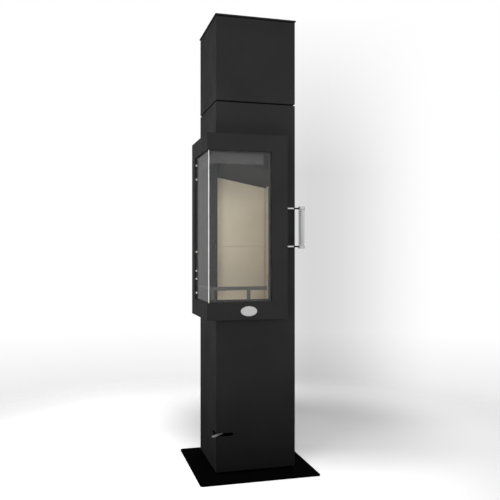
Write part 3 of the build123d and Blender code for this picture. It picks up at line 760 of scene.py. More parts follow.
@dataclass(frozen=True)
class Glass(Finish):
    """A clear ceramic pane: faint streaks where it was wiped, and lamps shine through it."""

    roughness: float = 0.02
    wiped: float = 0.05
    wiped_span: Pair = (0.35, 0.7)
    streak: Triple = (60.0, 60.0, 1.5)
    bend: float = 1.3
    clearness: float = 0.995

    def fill(self, canvas: Canvas, effects: Effects) -> None:
        """Wire the glass, which also lets lamps and soft light pass straight through.

        Args:
            canvas: The material to wire.
            effects: The shared effects.
        """
        wiring = canvas.wiring
        streaks = wiring.noise(wiring.stretched(canvas.place, self.streak), 1.0)
        rough = wiring.span(streaks, *self.wiped_span, self.roughness, self.roughness + self.wiped)
        canvas.set(Base_Color=opaque(self.colour), Roughness=rough, IOR=self.bend, Transmission_Weight=self.clearness)
        path = wiring.add("LightPath").outputs
        through = wiring.math("MAXIMUM", path["Is Shadow Ray"], path["Is Diffuse Ray"])
        clear = wiring.add("BsdfTransparent", {"Color": opaque(tuple(part ** 2 for part in self.colour))})
        mix = wiring.add("MixShader", {0: through, 1: canvas.shader.outputs[0], 2: clear.outputs[0]})
        wiring.feed(canvas.surface, mix.outputs[0])


class Finishes:
    """Every finish on the stove, as materials that are built once."""

    def __init__(self) -> None:
        """Build them all."""
        effects = Effects()
        black = grey(0.0131)
        finishes: dict[str, Finish] = {
            "paint": Paint("stove_paint", black),
            "door_paint": Paint("door_paint", black),
            "plate_paint": Paint("plate_paint", grey(0.0028), roughness=0.5, dust=0.002, sheen=0.0),
            # Painted shade: the recessed joint frames and the plinth get a paint about four times darker than the
            # stove's and without sheen. It stands in for the shade inside the recesses.
            "joint_paint": Paint("recess_painted_shade", grey(0.003), dust=0.0, sheen=0.0),
            "strip_paint": Paint("strip_paint", grey(0.012), roughness=0.55),
            "hot_steel": Paint("heat_darkened_steel", grey(0.022), roughness=0.6, cloud=0.2, depth=0.00006),
            "guard_steel": Paint("guard_steel", (0.043, 0.042, 0.040), roughness=0.5, cloud=0.25),
            "wash_steel": Paint("air_wash_steel", grey(0.034), roughness=0.55, cloud=0.12),
            "cast_iron": Paint("blackened_cast_iron", (0.035, 0.034, 0.033), roughness=0.7, grain=420.0,
                               depth=0.0002, cloud=0.3),
            "sheet": Metal("zinc_coated_sheet", (0.55, 0.56, 0.57), roughness=0.42, cells=110.0, uneven=0.3),
            "zinc": Metal("zinc_plated_steel", (0.56, 0.57, 0.58), roughness=0.36, cells=240.0),
            "bright": Metal("bright_spring_steel", (0.62, 0.62, 0.61), roughness=0.3, metallic=0.7),
            "lever": Metal("bright_brushed_steel", (0.66, 0.66, 0.65), roughness=0.3, metallic=0.5,
                           stretch=(500.0, 500.0, 900.0)),
            "arms": Metal("satin_rod_steel", (0.62, 0.62, 0.61), roughness=0.32, metallic=0.6,
                          stretch=(900.0, 60.0, 60.0)),
            "grip": Metal("satin_turned_steel", grey(0.54), roughness=0.32, metallic=0.85,
                          stretch=(30.0, 30.0, 1800.0)),
            "chrome": Metal("chromed_wire", (0.86, 0.86, 0.87), roughness=0.07, uneven=0.04, depth=0.000002),
            "oval": Metal("satin_plate", (0.335, 0.335, 0.332), roughness=0.45, metallic=0.25,
                          stretch=(60.0, 900.0, 2200.0), uneven=0.1),
            "trim": Metal("satin_strip", (0.53, 0.53, 0.535), roughness=0.3, metallic=0.2,
                          stretch=(900.0, 900.0, 30.0), uneven=0.1),
            "sleeve": Paint("black_heat_sleeve", grey(0.012), roughness=0.5, dust=0.0),
            "board": Board("vermiculite_board", (0.63, 0.555, 0.443), (0.69, 0.595, 0.455)),
            # The baffle board is near black: soot, and painted shade for its underside, which lies in shadow.
            "soot_and_shade_board": Board("soot_and_shade_board", grey(0.016), grey(0.020)),
            "insulation": Board("insulation_board", (0.78, 0.75, 0.70), (0.70, 0.67, 0.62), flakes=700.0),
            "stone": Board("fired_storage_stone", (0.42, 0.38, 0.35), (0.30, 0.25, 0.22), flakes=300.0),
            "rope": Rope("woven_seal_rope", (0.07, 0.068, 0.066)),
            "glass_rope": Rope("black_glass_rope", grey(0.014)),
            # Painted shade: a near-black sheet that stands in for the shade inside the air lever's slot.
            "dark_sheet": Paint("slot_painted_shade_sheet", grey(0.003), dust=0.0, sheen=0.0),
            "front_glass": Glass("front_pane_glass", (0.97, 0.975, 0.97)),
            # Painted shade: the side pane is the same ceramic glass as the front pane, given a darker tint so that it
            # looks dimmer.
            "side_glass": Glass("side_pane_glass", (0.86, 0.865, 0.86), wiped=0.12, clearness=0.982),
        }
        self._made = {key: finish.material(effects) for key, finish in finishes.items()}

    def __getitem__(self, key: str) -> bpy.types.Material:
        """The material of a finish."""
        return self._made[key]


class Workshop:
    """Makes pieces from surfaces, dresses them and sets them on their bodies."""

    WELD_REACH = 0.00001
    FLAT_ANGLE = math.radians(0.5)
    BEVEL_ANGLE = math.radians(40.0)
    BEVEL_STEPS = 2

    def __init__(self, nodes: dict[str, Item]) -> None:
        """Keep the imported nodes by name, and build the finishes.

        Args:
            nodes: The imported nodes.
        """
        self.nodes = nodes
        self.finishes = Finishes()
        self.undressed = set(nodes)

    def place(self, name: str, surface: Surface, body: Body, finish: str, slot: str,
              replaces: Sequence[str] = ()) -> Item:
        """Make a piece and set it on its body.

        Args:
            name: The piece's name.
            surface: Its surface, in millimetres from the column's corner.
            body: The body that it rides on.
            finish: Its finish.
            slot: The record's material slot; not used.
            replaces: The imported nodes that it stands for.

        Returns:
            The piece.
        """
        mesh = bpy.data.meshes.new(name)
        points = (surface.points + COLUMN_CORNER) * MILLIMETRE
        faces = surface.quads.tolist() + [cap.tolist() for cap in surface.caps]
        mesh.from_pydata(points.tolist(), [], faces)
        mesh.attributes.new("rub", "FLOAT", "POINT").data.foreach_set("value", surface.rub.astype(np.float32))
        mesh.shade_smooth()
        settle_normals(mesh)
        piece = stand(name, mesh)
        mesh.materials.append(self.finishes[finish])
        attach(piece, body.value)
        if replaces:
            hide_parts(*replaces)
            self.undressed -= set(replaces)
        log.info("%s: %d faces on %s", name, len(mesh.polygons), body.value)
        return piece

    @staticmethod
    def box(name: str) -> tuple[np.ndarray, np.ndarray]:
        """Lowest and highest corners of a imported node, in millimetres from the column's corner."""
        low, high = (np.array(corner) / MILLIMETRE - COLUMN_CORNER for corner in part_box(name))
        return low, high

    def dress(self, finish: str, *names: str, edge: float = 0.0) -> None:
        """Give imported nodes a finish, and soft edges where they have an edge radius.

        Args:
            finish: The finish.
            *names: The nodes.
            edge: Radius of their edges.
        """
        for name in names:
            node = self.nodes[name]
            node.data.materials.clear()
            node.data.materials.append(self.finishes[finish])
            self.undressed.discard(name)
            if edge:
                self.soften(node, edge)
            log.info("%s dressed in %s", name, finish)

    def soften(self, node: Item, edge: float) -> None:
        """Join a node's triangles into its flat faces and round the edges between them.

        Args:
            node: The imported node.
            edge: Radius of its edges.
        """
        weld = node.modifiers.new("joined", "WELD")
        weld.merge_threshold = self.WELD_REACH
        flat = node.modifiers.new("flat_faces", "DECIMATE")
        flat.decimate_type = "DISSOLVE"
        flat.angle_limit = self.FLAT_ANGLE
        bevel = node.modifiers.new("soft_edges", "BEVEL")
        bevel.width = edge * MILLIMETRE
        bevel.segments = self.BEVEL_STEPS
        bevel.limit_method = "ANGLE"
        bevel.angle_limit = self.BEVEL_ANGLE
        bevel.harden_normals = True


@dataclass
class Base:
    """Floor plate, plinth, base panel and feet."""

    corner: float = 12.0
    edge: float = 0.9

    def build(self, shop: Workshop) -> None:
        """Make the floor plate and dress what stands on it.

        Args:
            shop: The workshop.
        """
        floor_plate = plate(*shop.box("floor_plate"), self.corner, self.edge, steps=10)
        shop.place("floor_plate_dressed", floor_plate, Body.STOVE, "plate_paint", "plate_paint", ["floor_plate"])
        # The plinth's recess under the column wears the darker paint, as painted shade.
        shop.dress("joint_paint", "plinth_frame", edge=0.6)
        shop.dress("zinc", "levelling_feet")
        shop.dress("hot_steel", "base_panel")


@dataclass
class Casing:
    """The column's skins, the storage box, its lid, the shadow joints and the rear screws."""

    side: float = COLUMN_SIDE
    lid_corner: float = 1.4
    lid_edge: float = 0.9
    fold: float = 1.0
    screw_inset: float = 11.0
    screw_end: float = 27.0
    shank_start: float = 354.0
    panel_back: float = COLUMN_SIDE
    head_height: float = 2.2
    head_radius: float = 4.0
    shank_radius: float = 2.0
    socket_radius: float = 1.7
    socket_depth: float = 1.2
    socket_sides: int = 6
    screw_around: int = 24
    lower_span: tuple[float, float, int] = (0.0, 1609.0, 8)
    upper_span: tuple[float, float, int] = (1616.0, 1980.0, 3)

    def build(self, shop: Workshop) -> None:
        """Make the lid and the screws, and dress the skins.

        Args:
            shop: The workshop.
        """
        lid = plate(*shop.box("lid"), self.lid_corner, self.lid_edge, steps=3)
        shop.place("lid_dressed", lid, Body.STOVE, "paint", "black_paint", ["lid"])
        screws = Surface.together([self.screw().shifted(x, 0.0, z) for x, z in self.screw_places()])
        shop.place("rear_screw_set", screws, Body.STOVE, "zinc", "zinc_steel", ["rear_screws"])
        shop.dress("paint", "column_casing", "storage_casing", edge=self.fold)
        shop.dress("paint", "rear_panel", "storage_rear_panel", edge=0.6)
        # The joints under the storage box and under the lid wear the darker paint, as painted shade in the recesses.
        shop.dress("joint_paint", "joint_frame", "lid_frame", edge=0.6)
        shop.dress("hot_steel", "lower_posts", "upper_posts", "firebox_cradle", "top_deck", "storage_floor")
        shop.dress("stone", "storage_stones", edge=1.5)
        shop.dress("cast_iron", "heat_riser")

    def screw_places(self) -> list[Pair]:
        """X and Z of every rear screw.

        Returns:
            One pair for each screw.
        """
        places = []
        for low, high, count in (self.lower_span, self.upper_span):
            heights = np.linspace(low + self.screw_end, high - self.screw_end, count)
            places += [(x, float(z)) for x in (self.screw_inset, self.side - self.screw_inset) for z in heights]
        return places

    def screw(self) -> Surface:
        """A pan head screw with a hexagon socket, along Y through the axis.

        The socket's rings have the radius of a hexagon: its inner radius over the cosine of the angle from the nearest
        flat's middle.

        Returns:
            The closed surface.
        """
        angle = round_angles(self.screw_around)
        sector = FULL_TURN / self.socket_sides
        flat = self.socket_radius * math.cos(sector / 2) / np.cos((angle + sector / 2) % sector - sector / 2)
        rim = self.head_height / 2
        rows = np.array([(self.shank_radius, self.shank_start), (self.shank_radius, self.panel_back),
                         (self.head_radius, self.panel_back),
                         *arc((self.head_radius - rim, self.panel_back + rim), rim, 0.0, QUARTER_TURN, count=4)])
        radii = np.array([np.full(len(angle), radius) for radius in rows[:, 0]] + [flat, flat])
        top = self.panel_back + self.head_height
        heights = np.array([*rows[:, 1], top, top - self.socket_depth])
        return through_rings(Along.Y.arrange(radii[..., None] * unit(angle), heights))


@dataclass
class SmokeAndAir:
    """Smoke box, flue collar, air box, ducts, air post and the air control."""

    flue_wall: float = 3.0
    flue_step: float = 1.0
    panel_back: float = COLUMN_SIDE
    groove: float = 1.1
    groove_width: float = 6.0
    groove_starts: Pair = (371.0, 386.0)
    pivot: Pair = (100.0, 100.0)
    lever_turn: float = math.radians(225.0)
    lever_length: float = 170.0
    lever_half: float = 8.0
    hub_radius: float = 12.0
    lever_edge: float = 0.8

    def build(self, shop: Workshop) -> None:
        """Make the flue collar and the lever, and dress the ducts.

        Args:
            shop: The workshop.
        """
        collar = self.collar(*shop.box("flue_collar"))
        shop.place("flue_collar_turned", collar, Body.STOVE, "cast_iron", "cast_black", ["flue_collar"])
        lever = self.lever(*shop.box("air_lever"))
        shop.place("air_lever_ground", lever, Body.AIR_CONTROL, "lever", "bright_lever", ["air_lever"])
        shop.dress("hot_steel", "smoke_box")
        # Painted shade: the air box and its shutter are dressed near black, standing in for the shade inside the
        # lever's slot.
        shop.dress("dark_sheet", "air_box")
        shop.dress("sheet", "supply_duct", "air_plenum", "plenum_cover")
        shop.dress("hot_steel", "air_post", edge=0.5)
        shop.dress("zinc", "valve_spindle")
        shop.dress("dark_sheet", "air_shutter")

    def collar(self, low: np.ndarray, high: np.ndarray) -> Surface:
        """A pipe collar whose stub has two pressed grooves and a rounded mouth.

        Args:
            low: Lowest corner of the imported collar.
            high: Its highest corner.

        Returns:
            The closed surface.
        """
        radius = (high[0] - low[0]) / 2
        centre = ((low[0] + high[0]) / 2, (low[2] + high[2]) / 2)
        root, bore, lip = radius - self.flue_step, radius - self.flue_wall, self.flue_wall / 2
        turn = np.linspace(0.0, FULL_TURN, 9)
        dip = radius - self.groove * (1.0 - np.cos(turn)) / 2
        rows = [(root, low[1]), (root, self.panel_back), (radius, self.panel_back)]
        for start in self.groove_starts:
            rows += zip(dip, start + self.groove_width * turn / FULL_TURN)
        rows += [*arc((radius - lip, high[1] - lip), lip, 0.0, HALF_TURN, count=9), (bore, low[1])]
        return turned(rows, centre, Along.Y, around=96, looped=True)

    def lever(self, low: np.ndarray, high: np.ndarray) -> Surface:
        """A flat lever: a round hub on the spindle, a straight strip and a half round tip.

        The outline is the hub's arc outside the strip and the tip's half circle, both turned to the lever's direction.

        Args:
            low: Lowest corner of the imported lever.
            high: Its highest corner.

        Returns:
            The closed surface.
        """
        meet = math.asin(self.lever_half / self.hub_radius)
        end = self.lever_length - self.lever_half
        flat = np.concatenate([arc((0.0, 0.0), self.hub_radius, meet, FULL_TURN - meet, count=41),
                               arc((end, 0.0), self.lever_half, -QUARTER_TURN, QUARTER_TURN, count=21)])
        cos, sin = math.cos(self.lever_turn), math.sin(self.lever_turn)
        outline = np.array(self.pivot) + flat @ np.array([[cos, sin], [-sin, cos]])
        return prism(outline, low[2], high[2], self.lever_edge)


@dataclass
class Lining:
    """One pressed board slab in two courses, whose top is cut by the baffle's tilted underside."""

    start: float
    end: float
    face: float
    back: float
    along: Along
    tile_top: float = 725.0
    joint: float = 983.0
    cut_height: float = 1267.0
    cut_slope: float = 0.19
    cut_end: float = 288.0
    edge: float = 2.0
    chip: float = 0.6
    chip_power: int = 3
    step: float = 7.0
    level: float = 1.0

    def course(self, low: float, high_start: float, high_end: float, seed: int) -> Surface:
        """A slab whose edges are rounded and a little crumbled.

        The outline's corners are joined by points a few millimetres apart, each moved in by a random share of the
        chip's depth. Where the top isn't level, its points drop with the depth into the slab as the tilted cut does.

        Args:
            low: Height of its bottom.
            high_start: Height of its top at the start.
            high_end: Height of its top at the end.
            seed: Seed of the crumbled edge.

        Returns:
            The closed surface.
        """
        corners = np.array([[self.start, low], [self.end, low], [self.end, high_end], [self.start, high_start]])
        sides = []
        for here, there in zip(corners, np.roll(corners, -1, axis=0)):
            count = max(2, int(np.linalg.norm(there - here) // self.step))
            sides.append(here + (there - here) * np.linspace(0.0, 1.0, count, endpoint=False)[:, None])
        outline = np.concatenate(sides)
        crumble = np.random.default_rng(seed).random(len(outline)) ** self.chip_power * self.chip
        outline = outline + crumble[:, None] * inward_normals(outline)
        slab = prism(outline, self.face, self.back, self.edge, self.along)
        depth = slab.points[:, 1 if self.along is Along.Y else 0] - self.face
        upper = slab.points[:, 2] > (low + min(high_start, high_end)) / 2
        if abs(high_start - high_end) > self.level:
            slab.points[:, 2] -= np.where(upper, depth * self.cut_slope, 0.0)
        return slab

    def build(self, shop: Workshop, name: str, node: str, seed: int) -> None:
        """Make both courses.

        Args:
            shop: The workshop.
            name: The piece's name.
            node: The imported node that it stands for.
            seed: Seed of the crumbled edges.
        """
        first, last = (self.cut_height + self.cut_slope * (self.cut_end - at) for at in (self.start, self.end))
        lower = self.course(self.tile_top, self.joint, self.joint, seed)
        upper = self.course(self.joint, first, last, seed + 1)
        shop.place(name, Surface.together([lower, upper]), Body.STOVE, "board", "vermiculite", [node])


@dataclass
class Firebox:
    """Shell, linings, baffle, floor, grate, ash well and pan."""

    def build(self, shop: Workshop) -> None:
        """Make the linings and dress the rest.

        Args:
            shop: The workshop.
        """
        (left, rear_face, _), (corner, rear_back, _) = shop.box("back_lining")
        (side_face, front, _), (side_back, end, _) = shop.box("side_lining")
        back = Lining(left, corner, rear_face, rear_back, Along.Y, cut_end=side_face)
        back.build(shop, "back_lining_slabs", "back_lining", seed=11)
        side = Lining(front, end, side_face, side_back, Along.X, cut_end=rear_face)
        side.build(shop, "side_lining_slabs", "side_lining", seed=21)
        # The baffle is dressed near black, as soot and painted shade together.
        shop.dress("soot_and_shade_board", "baffle_plate", edge=1.2)
        shop.dress("board", "floor_tiles", edge=1.0)
        shop.dress("insulation", "insulation_board")
        shop.dress("hot_steel", "firebox_shell", edge=0.8)
        shop.dress("hot_steel", "ash_well")
        shop.dress("cast_iron", "grate", edge=1.0)
        shop.dress("sheet", "ash_pan", edge=0.3)


@dataclass
class SealRope:
    """A woven rope ring that is bent round the glazed corner and seals the door to the firebox."""

    bend: float = 5.0
    turn: float = 7.0
    half_width: float = 4.9
    half_depth: float = 2.05
    gap: float = 0.08
    step: float = 1.3
    strands: int = 5
    twist: float = 0.55
    valley: float = 0.12
    around: int = 20

    def build(self, shop: Workshop) -> None:
        """Make the rope."""
        path, outward = self.route(*shop.box("door_seal"))
        shop.place("door_seal_rope", swept(path, outward, self.braid(len(path)), looped=True), Body.DOOR, "rope",
                   "seal_rope", ["door_seal"])

    def route(self, low: np.ndarray, high: np.ndarray) -> tuple[np.ndarray, np.ndarray]:
        """The rope's middle line: a rounded rectangle, drawn flat and then bent round the corner.

        A flat place a beyond half the bend's arc runs on straight along its leg, and one within it lies on the arc at
        the angle a over the bend's radius.

        Args:
            low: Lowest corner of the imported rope.
            high: Its highest corner.

        Returns:
            The path's points, and the unit vectors that look out of the stove there.
        """
        half_arc = self.bend * QUARTER_TURN / 2
        inset = self.half_width + self.gap
        centre = low[0] + self.half_depth + self.gap + self.bend
        across = high[0] - inset - centre + half_arc
        ring = rounded_rectangle(-across, across, low[2] + inset, high[2] - inset, self.turn, steps=10)
        closed = np.concatenate([ring, ring[:1]])
        run = np.concatenate([[0.0], np.cumsum(np.linalg.norm(np.diff(closed, axis=0), axis=1))])
        at = np.linspace(0.0, run[-1], int(run[-1] / self.step), endpoint=False)
        flat = np.stack([np.interp(at, run, closed[:, i]) for i in range(2)], axis=1)
        angle = np.clip(flat[:, 0], -half_arc, half_arc) / self.bend + QUARTER_TURN / 2
        beyond = np.clip(np.abs(flat[:, 0]) - half_arc, 0.0, None)
        front = flat[:, 0] > 0
        outward = np.column_stack([-unit(angle), np.zeros(len(angle))])
        path = np.stack([centre + self.bend * outward[:, 0] + np.where(front, beyond, 0.0),
                         centre + self.bend * outward[:, 1] + np.where(front, 0.0, beyond), flat[:, 1]], axis=1)
        return path, outward

    def braid(self, count: int) -> np.ndarray:
        """The rope's profile at each point: a flat oval, pressed in where two sets of strands cross the surface.

        Args:
            count: Points along the rope.

        Returns:
            Path points by points round by 2.
        """
        angle = round_angles(self.around)
        crossing = self.strands / 2 * angle
        along = np.arange(count)[:, None] * round(self.twist * count / FULL_TURN) * FULL_TURN / count
        woven = np.abs(np.sin(crossing + along)) * np.abs(np.sin(crossing - along))
        size = 1.0 - self.valley * (1.0 - woven)
        return size[..., None] * np.array([self.half_width, self.half_depth]) * unit(angle)


@dataclass
class DoorHead:
    """The corner-glazed door: frame, panes, strips, clips, seals, guard, air-wash plate and oval plate."""

    glass_corner: float = 1.0
    glass_edge: float = 0.5
    trim_edge: float = 0.2
    wash_sheet: float = 2.0
    wash_bend: float = 4.0
    wash_flange: float = 12.0
    wash_lip: float = 0.6
    clip_sheet: float = 0.8
    clip_reach: float = 0.75
    clip_corner: float = 0.35
    clip_clear: float = 0.1
    window_middle: float = 1064.0
    clip_offsets: tuple[float, ...] = (-298.0, -233.0, -196.0, -108.0, 229.0, 294.0)
    oval_edge: float = 0.9
    oval_crown: float = 0.25
    oval_middle: float = 0.04
    oval_around: int = 72
    seal: SealRope = field(default_factory=SealRope)

    def build(self, shop: Workshop) -> None:
        """Make the panes, strips, clips and plate, and dress the rest.

        Args:
            shop: The workshop.
        """
        self.build_panes(shop)
        shop.place("oval_plate_dressed", self.oval(*shop.box("oval_plate")), Body.DOOR, "oval", "oval_satin",
                   ["oval_plate"])
        self.seal.build(shop)
        shop.dress("door_paint", "door_frame", edge=1.2)
        shop.dress("glass_rope", "glass_seal")
        shop.dress("strip_paint", "glass_retainers", edge=0.4)
        shop.place("air_wash_folded", self.wash_plate(*shop.box("air_wash_plate")), Body.DOOR, "wash_steel",
                   "wash_steel", ["air_wash_plate"])
        shop.dress("guard_steel", "log_guard", edge=0.8)
        shop.dress("zinc", "door_hinge_eyes", "hinge_pins", edge=0.4)
        shop.dress("paint", "hinge_brackets", edge=0.4)

    def build_panes(self, shop: Workshop) -> None:
        """Make both panes, the bright strip on their joint and the clips at the side pane's rear edge.

        Args:
            shop: The workshop.
        """
        for pane, along in (("front", Along.Y), ("side", Along.X)):
            ground = plate(*shop.box(f"{pane}_glass"), self.glass_corner, self.glass_edge, along)
            shop.place(f"{pane}_pane_ground", ground, Body.DOOR, f"{pane}_glass", f"{pane}_pane", [f"{pane}_glass"])
        (out, _, foot), (tip, _, top) = shop.box("glass_joint_trim")
        inside = shop.box("front_glass")[0][1]
        outline = np.array([[out, out], [tip, out], [tip, inside], [inside, inside], [inside, tip], [out, tip]])
        trim = prism(outline, foot, top, self.trim_edge)
        shop.place("glass_joint_strip", trim, Body.DOOR, "trim", "joint_trim", ["glass_joint_trim"])
        clip = self.clip(*shop.box("glass_clips"))
        clips = [clip.shifted(0.0, 0.0, self.window_middle + offset) for offset in self.clip_offsets]
        shop.place("glass_spring_clips", Surface.together(clips), Body.DOOR, "bright", "bright_clip",
                   ["glass_clips"])

    def wash_plate(self, low: np.ndarray, high: np.ndarray) -> Surface:
        """The air-wash plate: a sheet folded inwards along its top, carried round the glazed corner.

        The profile's first coordinate is the depth behind the plate's outer face, and its second the height. It is
        mitred at the corner, where both legs move in by the same depth.

        Args:
            low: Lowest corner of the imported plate.
            high: Its highest corner.

        Returns:
            The closed surface.
        """
        sheet, bend, lip, flange = self.wash_sheet, self.wash_bend, self.wash_lip, self.wash_flange
        bottom, top = low[2], high[2]
        middle = (bend, top - bend)
        fold = arc(middle, bend, HALF_TURN, QUARTER_TURN, count=7)
        under = arc(middle, bend - sheet, QUARTER_TURN, HALF_TURN, count=7)
        profile = np.array([(lip, bottom), (0.0, bottom + lip), *fold, (flange - lip, top), (flange, top - lip),
                            (flange, top - sheet + lip), (flange - lip, top - sheet), *under,
                            (sheet, bottom + lip), (sheet - lip, bottom)])
        out, end = low[0], high[0]
        depth, height = profile[:, 0], profile[:, 1]
        far, near = np.full_like(depth, end), out + depth
        rings = np.stack([np.stack([far, near, height], axis=1), np.stack([near, near, height], axis=1),
                          np.stack([near, far, height], axis=1)])
        return through_rings(rings)

    def clip(self, low: np.ndarray, high: np.ndarray) -> Surface:
        """A bent spring strip: up the window's reveal, over in a half turn, and down on the pane.

        Args:
            low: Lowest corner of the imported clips.
            high: Their highest corner.

        Returns:
            The closed surface, with its middle at height 0.
        """
        half = self.clip_sheet / 2
        far, near = high[1] - half, low[1] + half
        radius = (far - near) / 2
        turn = np.linspace(0.0, HALF_TURN, 13)
        reach = radius * self.clip_reach
        over = np.stack([low[0] + half + reach * (1.0 - np.sin(turn)), (far + near) / 2 + radius * np.cos(turn)],
                        axis=1)
        plan = np.concatenate([[[high[0] - self.clip_clear, far]], over, [[high[0] - half, near]]])
        path = np.column_stack([plan, np.zeros(len(plan))])
        up = np.broadcast_to(np.array([0.0, 0.0, 1.0]), path.shape)
        tall = (high[1] - low[1]) / 2
        strip = rounded_rectangle(-half, half, -tall, tall, self.clip_corner, steps=2)
        return swept(path, up, strip, looped=False)

    def oval(self, low: np.ndarray, high: np.ndarray) -> Surface:
        """The plain oval plate: an ellipse with a rolled rim and a slight crown.

        Rings are ellipses whose half axes shrink by the same inset round the rim, and by the same share over the
        crown, whose height rises with the cosine of the distance from its middle.

        Args:
            low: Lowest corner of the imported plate.
            high: Its highest corner.

        Returns:
            The closed surface.
        """
        middle, half = (low + high)[[0, 2]] / 2, (high - low)[[0, 2]] / 2
        rim_top = high[1] - low[1] - self.oval_crown
        turn = np.linspace(0.0, QUARTER_TURN, 5)
        over = np.linspace(1.0, self.oval_middle, 12)[1:]
        insets = np.array([0.0, *(self.oval_edge * (1.0 - np.cos(turn)))])
        halves = np.concatenate([half - insets[:, None], (half - self.oval_edge) * over[:, None]])
        lifts = np.concatenate([[0.0], rim_top - self.oval_edge * (1.0 - np.sin(turn)),
                                rim_top + self.oval_crown * np.cos(over * QUARTER_TURN)])
        plan = middle + halves[:, None] * unit(round_angles(self.oval_around))
        return through_rings(Along.Y.arrange(plan, high[1] - lifts))


@dataclass
class Handle:
    """The latch shaft with its two arms, sleeves, grip, caps and sprung coil."""

    grip: Pair = (379.5, -34.0)
    cap_radius: float = 14.0
    cap_height: float = 14.0
    cap_edge: float = 2.0
    cap_groove: Triple = (0.8, 0.4, 0.5)
    core_radius: float = 5.0
    sunk: float = 1.0
    rod_around: int = 28
    grip_low: float = 971.5
    grip_high: float = 1156.5
    wire: float = 2.0
    wire_round: float = 0.9999
    turns: float = 17.0
    turn_steps: int = 44
    sleeve_bead: tuple[Pair, ...] = ((1.0, 0.0), (0.4, 0.3), (0.0, 0.9), (0.0, 2.4), (0.2, 2.8))
    sleeve_foot: tuple[Pair, ...] = ((0.2, -2.8), (0.0, -2.4), (0.0, 1.5))

    def build(self, shop: Workshop) -> None:
        """Make the grip and its arms, and dress the latch.

        Args:
            shop: The workshop.
        """
        low, high = self.grip_low + self.cap_height, self.grip_high - self.cap_height
        caps = [self.cap(self.grip_low, low), self.cap(high, self.grip_high)]
        core = turned([(self.core_radius, low - self.sunk), (self.core_radius, high + self.sunk)], self.grip,
                      Along.Z)
        shop.place("grip_turned", Surface.together([*caps, core]), Body.HANDLE, "grip", "grip_metal", ["grip_core"])
        shop.place("grip_spring", self.coil(low, high), Body.HANDLE, "chrome", "coil_chrome", ["grip_coil"])
        face = self.grip[0] - self.cap_radius
        start, end = shop.box("handle_arms")
        radius = (end[1] - start[1]) / 2
        heights = (start[2] + radius, end[2] - radius)
        rod = [(radius, start[0]), (radius, face + self.sunk)]
        arms = [turned(rod, (self.grip[1], z), Along.X, self.rod_around) for z in heights]
        shop.place("handle_arm_rods", Surface.together(arms), Body.HANDLE, "arms", "arm_metal", ["handle_arms"])
        near, far = shop.box("handle_ferrules")
        sleeves = [self.sleeve(near[0], face, (far[1] - near[1]) / 2, z) for z in heights]
        shop.place("handle_sleeves", Surface.together(sleeves), Body.HANDLE, "sleeve", "ferrule_black",
                   ["handle_ferrules"])
        shop.dress("zinc", "latch_shaft")
        shop.dress("zinc", "latch_hooks", "latch_bearings", "latch_keepers", edge=0.4)

    def cap(self, low: float, high: float) -> Surface:
        """A turned grip cap: rounded rims and a shallow groove round its middle.

        Args:
            low: Height of its lower end.
            high: Height of its upper end.

        Returns:
            The closed surface.
        """
        radius, edge = self.cap_radius, self.cap_edge
        mouth, bed, depth = self.cap_groove
        middle = (low + high) / 2
        lower = arc((radius - edge, low + edge), edge, -QUARTER_TURN, 0.0, count=5)
        groove = [(radius, middle - mouth), (radius - depth, middle - bed), (radius - depth, middle + bed),
                  (radius, middle + mouth)]
        upper = arc((radius - edge, high - edge), edge, 0.0, QUARTER_TURN, count=5)
        return turned([*lower, *groove, *upper], self.grip, Along.Z, around=56)

    def coil(self, low: float, high: float) -> Surface:
        """The grip's wire, carried along a helix between the caps.

        Args:
            low: Where the coil starts.
            high: Where it ends.

        Returns:
            The closed surface.
        """
        share = np.linspace(0.0, 1.0, int(self.turns * self.turn_steps) + 1)
        outward = np.column_stack([unit(FULL_TURN * self.turns * share), np.zeros(len(share))])
        path = outward * (self.cap_radius - self.wire)
        path[:, 2] = low + self.wire + (high - low - 2.0 * self.wire) * share
        path += np.array([*self.grip, 0.0])
        section = rounded_rectangle(-self.wire, self.wire, -self.wire, self.wire, self.wire * self.wire_round, steps=3)
        return swept(path, outward, section, looped=False)

    def sleeve(self, start: float, face: float, radius: float, z: float) -> Surface:
        """A black sleeve with a bead at its outer end, on an arm at height z.

        Its profile lies below the sleeve's radius by the first value of each pair, at the second value's distance
        from the sleeve's start or from the cap's side.

        Args:
            start: Where it starts on the arm.
            face: The grip cap's side.
            radius: The sleeve's radius.
            z: Height of the arm.

        Returns:
            The closed surface.
        """
        rows = [(radius - drop, end + run) for end, pairs in ((start, self.sleeve_bead), (face, self.sleeve_foot))
                for drop, run in pairs]
        return turned(rows, (self.grip[1], z), Along.X, self.rod_around)


@dataclass(frozen=True)
class Lamp:
    """A soft lamp: a round one whose beam fades towards its rim, or a flat box with a narrow spread."""

    name: str
    place: Triple
    aim: Triple
    power: float
    beam: float
    radius: float = 0.25
    panel: Pair | None = None

    def hang(self) -> None:
        """Hang the lamp and turn it to its aim. Its light is seen, and the lamp isn't."""
        data = bpy.data.lights.new(self.name, "AREA" if self.panel else "SPOT")
        data.energy = self.power
        if self.panel:
            data.shape = "RECTANGLE"
            data.size, data.size_y = self.panel
            data.spread = math.radians(self.beam)
        else:
            data.spot_size = math.radians(self.beam)
            data.spot_blend = 1.0
            data.shadow_soft_size = self.radius
        lamp = stand(self.name, data)
        lamp.location = self.place
        lamp.rotation_euler = (Vector(self.aim) - Vector(self.place)).to_track_quat("-Z", "Y").to_euler()
        lamp.visible_camera = lamp.visible_glossy = lamp.visible_transmission = False


